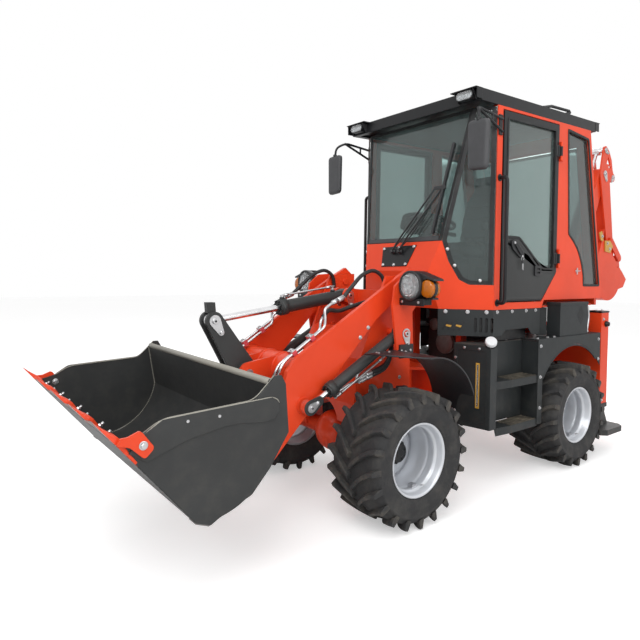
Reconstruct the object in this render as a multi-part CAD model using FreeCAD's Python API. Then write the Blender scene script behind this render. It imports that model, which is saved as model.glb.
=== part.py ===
import FreeCAD, Part
import math
import os

# Compact articulated backhoe loader. Millimetres, +X towards the loader bucket, +Y to the left, +Z up.
# Lengths along X below are measured from the rear axle, heights from the ground.

V = FreeCAD.Vector
UP = V(0, 0, 1)
LEFT = V(0, 1, 0)

# ---- overall layout -------------------------------------------------------------------------------
REAR_AXLE_X = -639.0          # where the rear axle stands in the finished model
WHEELBASE = 1728.0
AXLE_Z = 390.0
ARTICULATION_X = 1100.0       # centre of the frame's hinge
WORKING_GAP = 6.0             # between pieces that move past each other
SEAT_GAP = 0.3                # between a piece and what carries it
PLATE = 20.0                  # heavy frame plate
SHEET = 6.0                   # body sheet

# ---- wheels ---------------------------------------------------------------------------------------
TYRE_R = 390.0                # to the tips of the lugs
TYRE_WIDTH = 400.0
TRACK = 1198.0                # between the tyres' middles
RIM_R = 200.0                 # bead seat
FLANGE_R = 212.0
RIM_WALL = 8.0
DISC_OFFSET = -80.0           # the wheel disc lies inside the tyre's middle
DISC_THICK = 12.0
HUB_R = 72.0
HUB_LENGTH = 95.0
LUG_HEIGHT = 27.0
LUG_COUNT = 18                # on each half of the tread
LUG_WIDTH = 30.0
LUG_LEAN = 120.0              # how far a lug's outer end trails its inner end
LUG_INNER_Y = 6.0             # from the tread's middle
LUG_DEPTH = 52.0              # how far a lug's outer end reaches down the tyre's wall
LUG_BEVEL = 14.0
LUG_PROUD = 8.0               # beyond the tyre's wall
TYRE_FACETS = 18
AXLE_TUBE_R = 55.0
DIFF_R = 135.0

# ---- rear frame -----------------------------------------------------------------------------------
RAIL_Y = 230.0
RAIL_WIDTH = 60.0
RAIL_Z = (560.0, 760.0)
RAIL_X = (-620.0, 960.0)
COLUMN_X = (-618.0, -496.0)
COLUMN_Y = (570.0, 690.0)
COLUMN_Z = (354.0, 1143.0)
COLUMN_WALL = 8.0
CROSS_BEAM_Z = (440.0, 860.0)
SWING_X = -700.0
SWING_Z = (470.0, 830.0)
SWING_PIN_R = 32.0
SWING_EAR_R = 95.0
SWING_EAR_THICK = 40.0
CHEEK_BACK = 51.0             # how far its cheeks start behind the swing pin
LEG_CLEARANCE = 0.3
LEG_TOP_Z = 1090.0
FOOT_SIZE = 330.0
FOOT_Z = (160.0, 205.0)
GUSSET = 10.0
GUSSET_DROP = 14.0            # below the column's end
TANK_FRONT = ((1066.0, 445.0), (1028.0, 720.0))
TANK_SIDE_END = 960.0
TANK_Z = (427.0, 972.0)
STEP_INNER_Y = 590.0
STEP_INNER_X = 800.0
STEP_REAR_X = 481.0
TREAD_FRONT_X = 790.0
TREAD_HEIGHTS = (425.0, 735.0)
STEP_LOW_Z = 380.0
TREAD_THICK = 52.0
ARCH_R = 525.0
ARCH_Z = 400.0
FENDER_X = (-410.0, 486.0)
FENDER_STRIP_X = 426.0         # the fender's front edge goes down beside the steps from here
FENDER_TOP_Z = 990.0
FENDER_LOW_Z = 700.0
FENDER_INNER_Y = 400.0
BATTERY_X = (-215.0, 190.0)
BATTERY_Y = (608.0, 716.0)
BATTERY_TOP_Z = 1240.0
ENGINE_X = (-120.0, 620.0)
ENGINE_Y = 190.0
ENGINE_Z = (760.3, 1180.0)

# ---- cab ------------------------------------------------------------------------------------------
CAB_SIDE_Y = 645.0            # outer face of the side walls
CAB_WALL = 40.0
CAB_FLOOR_Z = 1205.0
CAB_REAR_FLOOR_Z = 1262.0
FLOOR_THICK = 12.0
A_POST_X = 905.0
CAB_STEP_X = 330.0            # the body's lower edge steps up behind this
REAR_TOP = (-320.0, 2590.0)
REAR_LOW = (-565.0, 1282.0)
ROOF_RAKE = 0.033             # the roof line rises towards the rear
HEADER_Z = 2565.0             # at the A post
COWL_LEVELS = ((1205.0, 1150.0, 373.0), (1461.0, 1200.0, 319.0), (1666.0, 1142.0, 378.0))
SCREEN_TOP = (2556.0, 996.0, 512.0)
COWL_WALL = 30.0
QUARTER_Z = 1371.0            # the quarter lights' lower edge
QUARTER_Y = (520.0, 470.0, 415.0)
DOOR_X = (155.0, 840.0)
DOOR_LOW_Z = 1260.0
DOOR_CUT = ((153.0, 1468.0), (344.0, 1260.0))
DOOR_HEAD_DROP = 25.0         # the door's head lies this far under the header
DOOR_TOP_Z = HEADER_Z - DOOR_HEAD_DROP
DOOR_FRAME = 42.0
DOOR_PROUD = 6.0
DOOR_GAP = 8.0
HINGE_X = 140.0
HINGE_Y = CAB_SIDE_Y + 18.0
HINGE_R = 9.0
HINGE_LENGTH = 70.0
HINGE_HEIGHTS = (1570.0, 2370.0)
GLASS_THICK = 6.0
SIDE_GLASS = ((26.0, 2560.0), (-295.0, 2535.0), (-530.0, 1362.0), (-262.0, 1362.0), (-256.0, 1450.0),
              (-221.0, 1550.0), (-162.0, 1646.0), (-95.0, 1710.0), (-18.0, 1761.0))
ROOF_FRONT_X = 1080.0
ROOF_REAR_X = -400.0
ROOF_Y = 645.0
ROOF_BAR = (44.0, 78.0)
ROOF_LOOP_R = 11.0
ROOF_LOOP = ((394.0, 2650.0), (244.0, 2689.0), (1.0, 2702.0), (-14.0, 2690.0), (95.0, 2652.0))
ROOF_FRONT_Z = HEADER_Z - (ROOF_FRONT_X - A_POST_X) * ROOF_RAKE + SEAT_GAP

# ---- front frame ----------------------------------------------------------------------------------
BOOM_PIVOT = (1433.0, 1375.0)
LIFT_BASE = (1539.0, 1065.0)
TILT_BASE = (1673.0, 1290.0)
TOWER_Y = (285.0, 305.0)
COLUMN_PLATE_Y = (440.0, 455.0)
FRONT_BOX_Z = 500.0
FENDER_EDGE_Y = 456.0         # just clear of the tower's outer plate
PIN_R = 22.0
TILT_EAR_Y = (44.0, 62.0)

# ---- loader ---------------------------------------------------------------------------------------
ARM_Y = (319.0, 349.0)
BUCKET_PIN = (2600.0, 375.0)
LIFT_EYE = (2232.0, 688.0)
CYLINDER_Y = 395.0
CROSS_TUBE = (2200.0, 865.0)
CROSS_TUBE_R = 90.0
BELLCRANK_PIVOT = (2438.0, 856.0)
TILT_EYE = (2630.0, 1158.0)
LINK_REAR = (2315.0, 552.0)
LINK_FRONT = (2600.0, 515.0)
LINK_ROOT = (2745.0, 560.0)    # where the link's ears meet the bucket's back
BUCKET_HALF = 770.0
BUCKET_SIDE = 12.0
SHELL = 10.0
TOOTH_COUNT = 5
LIFT_PISTON = 125.0           # from the cylinder's base to the rod's inner end, as parked
TILT_PISTON = 240.0

# ---- backhoe --------------------------------------------------------------------------------------
BOOM_ROOT = (-880.0, 640.0)
BOOM_ELBOW = (-1300.0, 1680.0)
DIPPER_PIVOT = (-1710.0, 2508.0)
HORN_PIN = (-1712.0, 2751.0)
DIG_PIN = (-1905.0, 1560.0)
ROCKER_PIN = (-1856.0, 1820.0)
ROCKER_END = (-2044.0, 1648.0)
CURL_PIN = (-2090.0, 1390.0)
BOOM_CYL_BASE = (-1040.0, 470.0)
BOOM_CYL_EYE = (-1349.0, 1373.0)
DIPPER_CYL_BASE = (-1000.0, 1400.0)
CURL_CYL_BASE = (-1880.0, 2490.0)
HORN_EDGE = ((-1672.0, 2640.0), (-1668.0, 2765.0), (-1735.0, 2790.0), (-1790.0, 2752.0), (-1846.0, 2668.0),
             (-1872.0, 2570.0), (-1905.0, 2500.0), (-1870.0, 2440.0), (-1640.0, 2440.0), (-1620.0, 2540.0))
HORN_HOLES = (((-1768.0, 2700.0), (-1738.0, 2616.0), (-1822.0, 2616.0)),
              ((-1772.0, 2602.0), (-1836.0, 2602.0), (-1808.0, 2552.0)))
BOOM_PISTON = 375.0
DIPPER_PISTON = 470.0
CURL_PISTON = 412.0
DIG_BOOM_Y = 70.0
DIPPER_SIDE_Y = (76.0, 92.0)
DIG_HALF = 160.0
DIG_SLOT_Y = 98.0             # room in the bucket's back for the dipper's end
DIG_CENTRE = (-1700.0, 1480.0)
DIG_R = 280.0
DIG_LIP = (-1560.0, 1840.0)


# ---- small helpers --------------------------------------------------------------------------------
def box(x, y, z):
    """Block between the limits given as pairs."""
    return Part.makeBox(x[1] - x[0], y[1] - y[0], z[1] - z[0], V(x[0], y[0], z[0]))


def prism(points, direction):
    """Closed polygon pushed along a direction."""
    return Part.Face(Part.makePolygon([V(*p) for p in points] + [V(*points[0])])).extrude(direction)


def plate_xz(points, y):
    """Upright plate along X from its side outline."""
    return prism([(p[0], y[0], p[1]) for p in points], V(0, y[1] - y[0], 0))


def plate_yz(points, x):
    """Upright plate across X from its front outline."""
    return prism([(x[0], p[0], p[1]) for p in points], V(x[1] - x[0], 0, 0))


def plate_xy(points, z):
    """Level plate from its plan."""
    return prism([(p[0], p[1], z[0]) for p in points], V(0, 0, z[1] - z[0]))


def pin_y(place, radius, y):
    """Round bar along Y."""
    return Part.makeCylinder(radius, y[1] - y[0], V(place[0], y[0], place[1]), LEFT)


def bar(start, end, radius):
    """Round bar between two points."""
    run = V(*end) - V(*start)
    return Part.makeCylinder(radius, run.Length, V(*start), run)


def mirrored(shape):
    return shape.mirror(V(0, 0, 0), LEFT)


def pair(shape):
    """The shape and its twin on the other side, as separate solids."""
    return Part.makeCompound([shape, mirrored(shape)])


def fused(shapes):
    whole = shapes[0].fuse(shapes[1:]) if len(shapes) > 1 else shapes[0]
    return whole.removeSplitter()


def strap(a, ra, b, rb, y):
    """Flat link with round ends, as seen from the side."""
    ax, az = a
    bx, bz = b
    length = math.hypot(bx - ax, bz - az)
    heading = math.atan2(bz - az, bx - ax)
    lean = math.acos((ra - rb) / length)
    points = []
    for centre, radius, sign in ((a, ra, 1), (b, rb, 1), (b, rb, -1), (a, ra, -1)):
        angle = heading + sign * lean
        points.append((centre[0] + radius * math.cos(angle), centre[1] + radius * math.sin(angle)))
    body = plate_xz(points, y)
    return fused([body, pin_y(a, ra, y), pin_y(b, rb, y)])


def along(a, b, distance, offset=0.0):
    """Point on the line from a to b, moved to its left by offset."""
    length = math.hypot(b[0] - a[0], b[1] - a[1])
    ux, uz = (b[0] - a[0]) / length, (b[1] - a[1]) / length
    return (a[0] + ux * distance - uz * offset, a[1] + uz * distance + ux * offset)


def barrel(base, eye, length, radius, y, half):
    """Cylinder barrel with its base eye, on one hinge pin."""
    start = along(base, eye, radius * 0.6)
    end = along(base, eye, length)
    gland = along(base, eye, length - 60.0)
    tube = bar((start[0], y, start[1]), (end[0], y, end[1]), radius)
    head = bar((gland[0], y, gland[1]), (end[0], y, end[1]), radius + 7.0)
    lug = pin_y(base, PIN_R + 21.0, (y - half, y + half))
    body = fused([tube, head, lug]).cut(pin_y(base, PIN_R + SEAT_GAP, (y - half - 60.0, y + half + 60.0)))
    reach = math.hypot(eye[0] - base[0], eye[1] - base[1])
    inner = along(base, eye, radius + 30.0)
    tip = along(base, eye, reach)
    bore = bar((inner[0], y, inner[1]), (tip[0], y, tip[1]), rod_radius(radius) + 1.0)
    return body.cut(bore)


def rod_radius(radius):
    return radius * 0.5


def rod(base, eye, piston, radius, y, half, stub):
    """Piston rod with its eye; piston is how far its inner end is from the base, and stub the eye's pin."""
    reach = math.hypot(eye[0] - base[0], eye[1] - base[1])
    start = along(base, eye, piston)
    end = along(base, eye, reach - PIN_R)
    shaft = bar((start[0], y, start[1]), (end[0], y, end[1]), rod_radius(radius))
    lug = pin_y(eye, PIN_R + 20.0, (y - half, y + half))
    return fused([shaft, lug, pin_y(eye, PIN_R - 2.0, stub)])


def save(name, shape):
    """One STEP file for each node, in the finished model's place."""
    shape = shape.copy()
    shape.translate(V(REAR_AXLE_X, 0, 0))
    shape.exportStep("parts/%s.step" % name)


# ---- wheels ---------------------------------------------------------------------------------------
def revolved(profile, place):
    """Ring from a closed outline of (radius, offset along the axle) about an axle."""
    face = Part.Face(Part.makePolygon([V(r, y, 0) for r, y in profile + [profile[0]]]))
    ring = face.revolve(V(0, 0, 0), LEFT, 360)
    ring.translate(V(*place))
    return ring


def facet_ring(outline, sides):
    """Closed ring of flat facets about an axle, from its outline of (radius, offset along the axle)."""
    turns = [2 * math.pi * k / sides for k in range(sides)]
    rows = [[V(r * math.cos(a), y, r * math.sin(a)) for a in turns] for r, y in outline]
    faces = []
    for low, high in zip(rows, rows[1:] + rows[:1]):
        for i in range(sides):
            j = (i + 1) % sides
            faces.append(flat_face((low[i], low[j], high[j], high[i])))
    return Part.makeSolid(Part.makeShell(faces))


def tyre_lug(side):
    """One slanting bar of the tread, at the top of the tyre, that turns down over the shoulder."""
    half = TYRE_WIDTH / 2
    lean, wide = LUG_LEAN / 2, LUG_WIDTH / 2
    inner, outer, low_outer = LUG_INNER_Y, half - LUG_BEVEL, half
    spread = LUG_LEAN * (low_outer - outer) / (outer - inner)
    top = math.sqrt(TYRE_R ** 2 - (lean + wide) ** 2)
    low = TYRE_R - LUG_HEIGHT - LUG_DEPTH
    over = [V(lean - wide, side * inner, top), V(lean + wide, side * inner, top),
            V(wide - lean, side * outer, top), V(-lean - wide, side * outer, top)]
    under = [V(lean - wide, side * inner, low), V(lean + wide, side * inner, low),
             V(wide - lean - spread, side * low_outer, low), V(-lean - wide - spread, side * low_outer, low)]
    faces = [flat_face(over), flat_face(under)]
    faces += [flat_face((over[i], over[i - 1], under[i - 1], under[i])) for i in range(4)]
    return Part.makeSolid(Part.makeShell(faces))


def tyre(place):
    """Carcass with two rows of slanting lugs."""
    half = TYRE_WIDTH / 2
    wall = half - LUG_PROUD
    tread = TYRE_R - LUG_HEIGHT
    bead = half - 36 - SEAT_GAP
    corner = 1 / math.cos(math.pi / TYRE_FACETS)
    seat, flange = (RIM_R + SEAT_GAP) * corner, (FLANGE_R + 2) * corner
    outline = [(seat, -bead), (flange, -bead), (RIM_R + 60, -wall), (tread - 50, -wall), (tread, -wall + 42),
               (tread, wall - 42), (tread - 50, wall), (RIM_R + 60, wall), (flange, bead), (seat, bead)]
    step = 360.0 / LUG_COUNT
    lugs = []
    for side in (-1, 1):
        for k in range(LUG_COUNT):
            lug = tyre_lug(side)
            lug.rotate(V(0, 0, 0), LEFT, (k + (side + 1) / 4) * step)
            lugs.append(lug)
    body = facet_ring(outline, TYRE_FACETS).fuse(lugs).removeSplitter()
    body.translate(V(*place))
    return body


def rim(place, side):
    """Deep dished rim; side is +1 on the left."""
    half = TYRE_WIDTH / 2 - 36.0
    inner = RIM_R - RIM_WALL
    ring = revolved([(inner, -half), (RIM_R, -half), (RIM_R, half), (inner, half)], place)
    lips = [revolved([(inner, s * half), (FLANGE_R, s * half), (FLANGE_R, s * (half + 7)), (inner, s * (half + 7))],
                     place) for s in (-1, 1)]
    y0 = place[1] + side * DISC_OFFSET
    y1 = y0 + side * DISC_THICK
    y2 = y0 + side * HUB_LENGTH
    disc = pin_y((place[0], place[2]), inner + 1.0, sorted((y0, y1)))
    hub = pin_y((place[0], place[2]), HUB_R, sorted((y0, y2)))
    return fused([ring] + lips + [disc, hub])


def wheels():
    for name, x, side in (("front_left", WHEELBASE, 1), ("front_right", WHEELBASE, -1),
                          ("rear_left", 0.0, 1), ("rear_right", 0.0, -1)):
        place = (x, side * TRACK / 2, AXLE_Z)
        save("tyre_" + name, tyre(place))
        save("rim_" + name, rim(place, side))


def axle(x, pad_y, pad_z):
    """Drive axle: tube, round differential housing and the end flanges behind the wheel discs."""
    end = TRACK / 2 + DISC_OFFSET - SEAT_GAP
    centre = (x, AXLE_Z)
    tube = pin_y(centre, AXLE_TUBE_R, (-end, end))
    flanges = [pin_y(centre, HUB_R + 22.0, sorted((s * (end - 40), s * end))) for s in (-1, 1)]
    housing = Part.makeSphere(DIFF_R, V(x, 0, AXLE_Z))
    pads = [box((x - 70, x + 70), sorted((s * pad_y[0], s * pad_y[1])), (AXLE_Z, pad_z - SEAT_GAP)) for s in (-1, 1)]
    return fused([tube, housing] + flanges + pads)


# ---- rear frame -----------------------------------------------------------------------------------
def rear_frame():
    """Rails, cross beam, stabiliser columns, swing bearing and the hinge plates at the front."""
    rails = [box(RAIL_X, sorted((s * (RAIL_Y - RAIL_WIDTH / 2), s * (RAIL_Y + RAIL_WIDTH / 2))), RAIL_Z)
             for s in (-1, 1)]
    cross = [box((x, x + 60), (-RAIL_Y, RAIL_Y), RAIL_Z) for x in (-200.0, 300.0, RAIL_X[1] - 60)]
    beam = box((COLUMN_X[0], COLUMN_X[1]), (-COLUMN_Y[0] - 5, COLUMN_Y[0] + 5), CROSS_BEAM_Z)
    outer = [box(COLUMN_X, sorted((s * COLUMN_Y[0], s * COLUMN_Y[1])), COLUMN_Z) for s in (-1, 1)]
    hollow = [box((COLUMN_X[0] + COLUMN_WALL, COLUMN_X[1] - COLUMN_WALL),
                  sorted((s * (COLUMN_Y[0] + COLUMN_WALL), s * (COLUMN_Y[1] - COLUMN_WALL))),
                  (COLUMN_Z[0] - 1, COLUMN_Z[1] - 10)) for s in (-1, 1)]
    ears = []
    for z in (SWING_Z[0], SWING_Z[1] - SWING_EAR_THICK):
        ear = [box((SWING_X, COLUMN_X[0] + 5), (-SWING_EAR_R, SWING_EAR_R), (z, z + SWING_EAR_THICK)),
               Part.makeCylinder(SWING_EAR_R, SWING_EAR_THICK, V(SWING_X, 0, z), UP)]
        ears += ear
    hinge = []
    for z in (RAIL_Z[0], RAIL_Z[1] - PLATE):
        hinge.append(plate_xy([(RAIL_X[1] - 60, -RAIL_Y), (ARTICULATION_X, -70), (ARTICULATION_X, 70),
                               (RAIL_X[1] - 60, RAIL_Y)], (z, z + PLATE)))
        hinge.append(Part.makeCylinder(70, PLATE, V(ARTICULATION_X, 0, z), UP))
    mounts = [box((x, x + 80), sorted((s * RAIL_Y, s * (TANK_FRONT[0][1] - SEAT_GAP))), (RAIL_Z[1] - 40, RAIL_Z[1])) for s in (-1, 1)
              for x in (520.0, 820.0)]
    posts = [box((x, x + 60), sorted((s * (RAIL_Y - 20), s * (RAIL_Y + 30))), (RAIL_Z[1], CAB_FLOOR_Z))
             for s in (-1, 1) for x in (-190.0, 700.0)]
    body = fused(rails + cross + [beam] + outer + ears + hinge + mounts + posts)
    pin = Part.makeCylinder(30, RAIL_Z[1] - RAIL_Z[0] + 20, V(ARTICULATION_X, 0, RAIL_Z[0] - 10), UP)
    bore = Part.makeCylinder(SWING_PIN_R + SEAT_GAP, 900, V(SWING_X, 0, 100), UP)
    return fused([body.cut(Part.makeCompound(hollow + [bore])), pin])


def side_tank():
    """Left tank: slanted front, side wall, and a panel that slopes in to the steps."""
    (xi, yi), (xo, yo) = TANK_FRONT
    plan = [(xi, yi), (xo, yo), (TANK_SIDE_END, yo), (STEP_INNER_X, STEP_INNER_Y), (STEP_REAR_X, STEP_INNER_Y),
            (STEP_REAR_X, yi)]
    return plate_xy(plan, TANK_Z)


def side_steps():
    """Two treads and the upright plate behind them, beside the tank."""
    yo = TANK_FRONT[1][1]
    gap = SEAT_GAP
    slope = (yo - STEP_INNER_Y) / (TANK_SIDE_END - STEP_INNER_X)
    front = STEP_INNER_X + (yo - 15 - STEP_INNER_Y) / slope
    plan = [(front - gap * 3, yo - 15), (TREAD_FRONT_X, yo), (STEP_REAR_X, yo), (STEP_REAR_X, STEP_INNER_Y + gap),
            (STEP_INNER_X - gap * 3, STEP_INNER_Y + gap)]
    treads = [plate_xy(plan, (z - TREAD_THICK, z)) for z in TREAD_HEIGHTS]
    upright = box((STEP_REAR_X - SHEET, STEP_REAR_X + 1), (STEP_INNER_Y + gap, yo), (STEP_LOW_Z, TANK_Z[1]))
    return fused(treads + [upright])


def rear_fender():
    """Left wheel arch panel with its deck and the wall on its inner side."""
    yo = TANK_FRONT[1][1]
    side = plate_xz([(FENDER_X[0], FENDER_TOP_Z), (FENDER_X[1], FENDER_TOP_Z), (FENDER_X[1], FENDER_LOW_Z),
                     (FENDER_X[1] - 60, FENDER_LOW_Z), (FENDER_X[0], FENDER_LOW_Z)], (yo + SEAT_GAP, yo + SEAT_GAP + SHEET))
    side = side.cut(pin_y((0, ARCH_Z), ARCH_R, (yo - 50, yo + 50)))
    keep = box((FENDER_X[0] - 1, FENDER_X[1] + 1), (yo - 50, yo + 50), (ARCH_Z + 300, FENDER_TOP_Z + 1))
    side = side.common(fused([keep, box((300, 600), (yo - 50, yo + 50), (0, 2000))]))
    strip = box((FENDER_STRIP_X, FENDER_X[1]), (yo + SEAT_GAP, yo + SEAT_GAP + SHEET),
                (STEP_LOW_Z + 5, FENDER_LOW_Z + 30))
    side = fused([side, strip])
    deck = box((FENDER_X[0], FENDER_X[1]), (FENDER_INNER_Y, yo + 2), (FENDER_TOP_Z - SHEET, FENDER_TOP_Z))
    wall = box((FENDER_X[0], FENDER_X[1]), (FENDER_INNER_Y, FENDER_INNER_Y + SHEET),
               (FENDER_TOP_Z - 170, FENDER_TOP_Z))
    return fused([side, deck, wall])


def battery_box():
    return box(BATTERY_X, BATTERY_Y, (FENDER_TOP_Z + SEAT_GAP, BATTERY_TOP_Z))


def cab_skirt():
    """Left dark apron under the cab: it follows the cowl, then the side, with a notch in its lower edge."""
    z = (1025.0, CAB_FLOOR_Z - SEAT_GAP)
    y = CAB_SIDE_Y - 4.0
    cx, cy = COWL_LEVELS[0][1] + 1.0, COWL_LEVELS[0][2] - 2.0
    turn = math.atan2(cx - A_POST_X, y - cy)
    dx, dy = SHEET * math.cos(turn), SHEET * math.sin(turn)
    front = plate_xy([(cx, cy), (A_POST_X, y), (A_POST_X - 1, y), (A_POST_X - 1, y - SHEET),
                      (A_POST_X - dx, y - dy), (cx - dx, cy - dy)], z)
    side = plate_xz([(A_POST_X, z[0]), (A_POST_X, z[1]), (CAB_STEP_X + 10, z[1]), (CAB_STEP_X + 10, z[0] - 10),
                     (420, z[0] - 10), (447, 1020), (487, 1065), (760, 1063), (809, z[0])], (y - SHEET, y))
    inward = plate_xy([(CAB_STEP_X + 12, y), (CAB_STEP_X - 80, y - 80), (CAB_STEP_X - 80, y - 80 - SHEET),
                       (CAB_STEP_X + 12, y - SHEET)], (z[0] - 10, z[1]))
    slots = [strap((x, 1060), 9, (x, 1140), 9, (y - 20, y + 20)) for x in (912, 948, 984, 1020)]
    body = fused([front, side, inward])
    for slot in slots:
        slot.rotate(V(A_POST_X, y, 0), UP, -math.degrees(math.pi / 2 - turn))
        body = body.cut(slot)
    return body


# ---- cab ------------------------------------------------------------------------------------------
def header(x):
    """Height of the cab's top edge at x."""
    return HEADER_Z + (A_POST_X - x) * ROOF_RAKE


def cowl_ring(z, x, y, inset):
    """Plan of the cowl at one height."""
    side = CAB_SIDE_Y - inset
    return [V(A_POST_X, side, z), V(x - inset, y - inset * 0.4, z), V(x - inset, -y + inset * 0.4, z),
            V(A_POST_X, -side, z)]


def flat_face(points):
    return Part.Face(Part.makePolygon(list(points) + [points[0]]))


def lofted(levels, inset):
    """Closed body through the cowl's plans, with flat facets that mirror from side to side."""
    rings = [cowl_ring(z, x, y, inset) for z, x, y in levels]
    faces = [flat_face(rings[0]), flat_face(rings[-1])]
    for low, high in zip(rings, rings[1:]):
        for i in range(len(low)):
            j = (i + 1) % len(low)
            if i == 2:
                faces += [flat_face((low[i], low[j], high[i])), flat_face((low[j], high[j], high[i]))]
            else:
                faces += [flat_face((low[i], low[j], high[j])), flat_face((low[i], high[j], high[i]))]
    return Part.makeSolid(Part.makeShell(faces)).removeSplitter()


def cab_floor():
    """Floor plate and the cowl that closes the cab's front below the screen."""
    outer = lofted(COWL_LEVELS, 0.0)
    low, mid, top = COWL_LEVELS
    inner = lofted(((low[0] - 1, low[1], low[2]), mid, (top[0] + 1, top[1], top[2])), COWL_WALL)
    cowl = outer.cut(inner)
    side_room = CAB_SIDE_Y - CAB_WALL - SEAT_GAP
    reach = low[1] - COWL_WALL / 2
    wall = CAB_SIDE_Y - COWL_WALL / 2
    floor = plate_xy([(A_POST_X, side_room), (A_POST_X, wall), (reach, low[2] - 8), (reach, 8 - low[2]),
                      (A_POST_X, -wall), (A_POST_X, -side_room), (-480, -side_room), (-480, side_room)],
                     (CAB_FLOOR_Z, CAB_FLOOR_Z + FLOOR_THICK))
    cowl = cowl.cut(quarter_opening(0.0)).cut(mirrored(quarter_opening(0.0)))
    return fused([cowl, floor])


def quarter_opening(inset):
    """Space above the cowl's sloping side edges, where the left quarter light goes."""
    points = [(CAB_SIDE_Y + 20, QUARTER_Z), (QUARTER_Y[0], QUARTER_Z), (QUARTER_Y[1], QUARTER_Z + 34),
              (QUARTER_Y[2], QUARTER_Z + 160), (COWL_LEVELS[2][2] + 2, COWL_LEVELS[2][0] + 10),
              (CAB_SIDE_Y + 20, COWL_LEVELS[2][0] + 10)]
    moved = [(y + inset, z + inset) for y, z in points]
    return plate_yz(moved, (A_POST_X + SEAT_GAP, A_POST_X + 500))


def cab_side():
    """Left side wall with its door opening and the rear window."""
    y = (CAB_SIDE_Y - CAB_WALL, CAB_SIDE_Y)
    top = header
    front = A_POST_X - SEAT_GAP
    outline = [(front, CAB_FLOOR_Z), (front, top(A_POST_X)), (REAR_TOP[0], top(REAR_TOP[0])),
               REAR_LOW, (REAR_LOW[0], CAB_REAR_FLOOR_Z), (CAB_STEP_X - 30, CAB_REAR_FLOOR_Z),
               (CAB_STEP_X, CAB_FLOOR_Z)]
    wall = plate_xz(outline, y)
    g = DOOR_GAP
    door = [(DOOR_X[1] + g, DOOR_LOW_Z - g), (DOOR_X[1] + g, door_top(DOOR_X[1]) + g),
            (DOOR_X[0] - g, door_top(DOOR_X[0]) + g), (DOOR_X[0] - g, DOOR_CUT[0][1] - g),
            (DOOR_CUT[1][0] - g, DOOR_LOW_Z - g)]
    wide = (y[0] - 10, y[1] + 10)
    wall = wall.cut(plate_xz(door, wide)).cut(plate_xz(SIDE_GLASS, wide))
    hinges = []
    for middle in HINGE_HEIGHTS:
        for z in (middle - HINGE_LENGTH, middle + HINGE_LENGTH / 2 + SEAT_GAP):
            span = (z, z + HINGE_LENGTH / 2 - SEAT_GAP)
            hinges.append(hinge_knuckle(span, (HINGE_X - 30, HINGE_X), CAB_SIDE_Y - 1))
    return fused([wall] + hinges)


def hinge_knuckle(z, leaf_x, inner_y):
    """Short hinge barrel with its leaf, on the door's pivot line."""
    knuckle = Part.makeCylinder(HINGE_R, z[1] - z[0], V(HINGE_X, HINGE_Y, z[0]), UP)
    return fused([knuckle, box(leaf_x, (inner_y, HINGE_Y - 2), z)])


def door_top(x):
    return DOOR_TOP_Z + (DOOR_X[1] - x) * ROOF_RAKE


def cab_rear():
    """Leaning rear wall with its window cut."""
    side = CAB_SIDE_Y - CAB_WALL - SEAT_GAP
    top, low = (REAR_TOP[0], header(REAR_TOP[0])), REAR_LOW
    wall = plate_xz([top, low, (low[0], CAB_FLOOR_Z), (low[0] + 34, CAB_FLOOR_Z), (low[0] + 34, low[1]),
                     (top[0] + 34, header(top[0] + 34))], (-side, side))
    low_sill, high_sill = along(low, top, 230), along(low, top, 1230)
    window = plate_xz([(low_sill[0] - 80, low_sill[1]), (high_sill[0] - 80, high_sill[1]),
                       (high_sill[0] + 120, high_sill[1]), (low_sill[0] + 120, low_sill[1])], (-530, 530))
    return wall.cut(window)


def cab_glass():
    """Front screen, quarter lights, rear side lights and the rear window."""
    t = GLASS_THICK
    upper = (COWL_LEVELS[2], SCREEN_TOP)
    screen = lofted(upper, 4.0).cut(lofted(upper, 4.0 + t))
    behind = box((0, A_POST_X + SEAT_GAP), (-CAB_SIDE_Y - 1, CAB_SIDE_Y + 1), (1000, 3000))
    lower = lofted(COWL_LEVELS, 4.0).cut(lofted(COWL_LEVELS, 4.0 + t))
    left_light = lower.common(quarter_opening(SEAT_GAP))
    front = fused([screen, left_light, mirrored(left_light)]).cut(behind)
    opening = [V(x, CAB_SIDE_Y - 24, z) for x, z in SIDE_GLASS]
    light = Part.Face(Part.makePolygon(opening + opening[:1])).makeOffset2D(-SEAT_GAP, join=2)
    side = light.extrude(V(0, t, 0))
    top, rear = (REAR_TOP[0], header(REAR_TOP[0])), REAR_LOW
    p, q = along(rear, top, 238, -14), along(rear, top, 1220, -14)
    p2, q2 = along(rear, top, 238, -14 - t), along(rear, top, 1220, -14 - t)
    back = plate_xz([p, q, q2, p2], (-529.7, 529.7))
    return Part.makeCompound([front, back, side, mirrored(side)])


def raked(shape):
    """Roof pieces follow the rising roof line."""
    shape.rotate(V(ROOF_FRONT_X, 0, ROOF_FRONT_Z), LEFT, math.degrees(math.atan(ROOF_RAKE)))
    return shape


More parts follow.
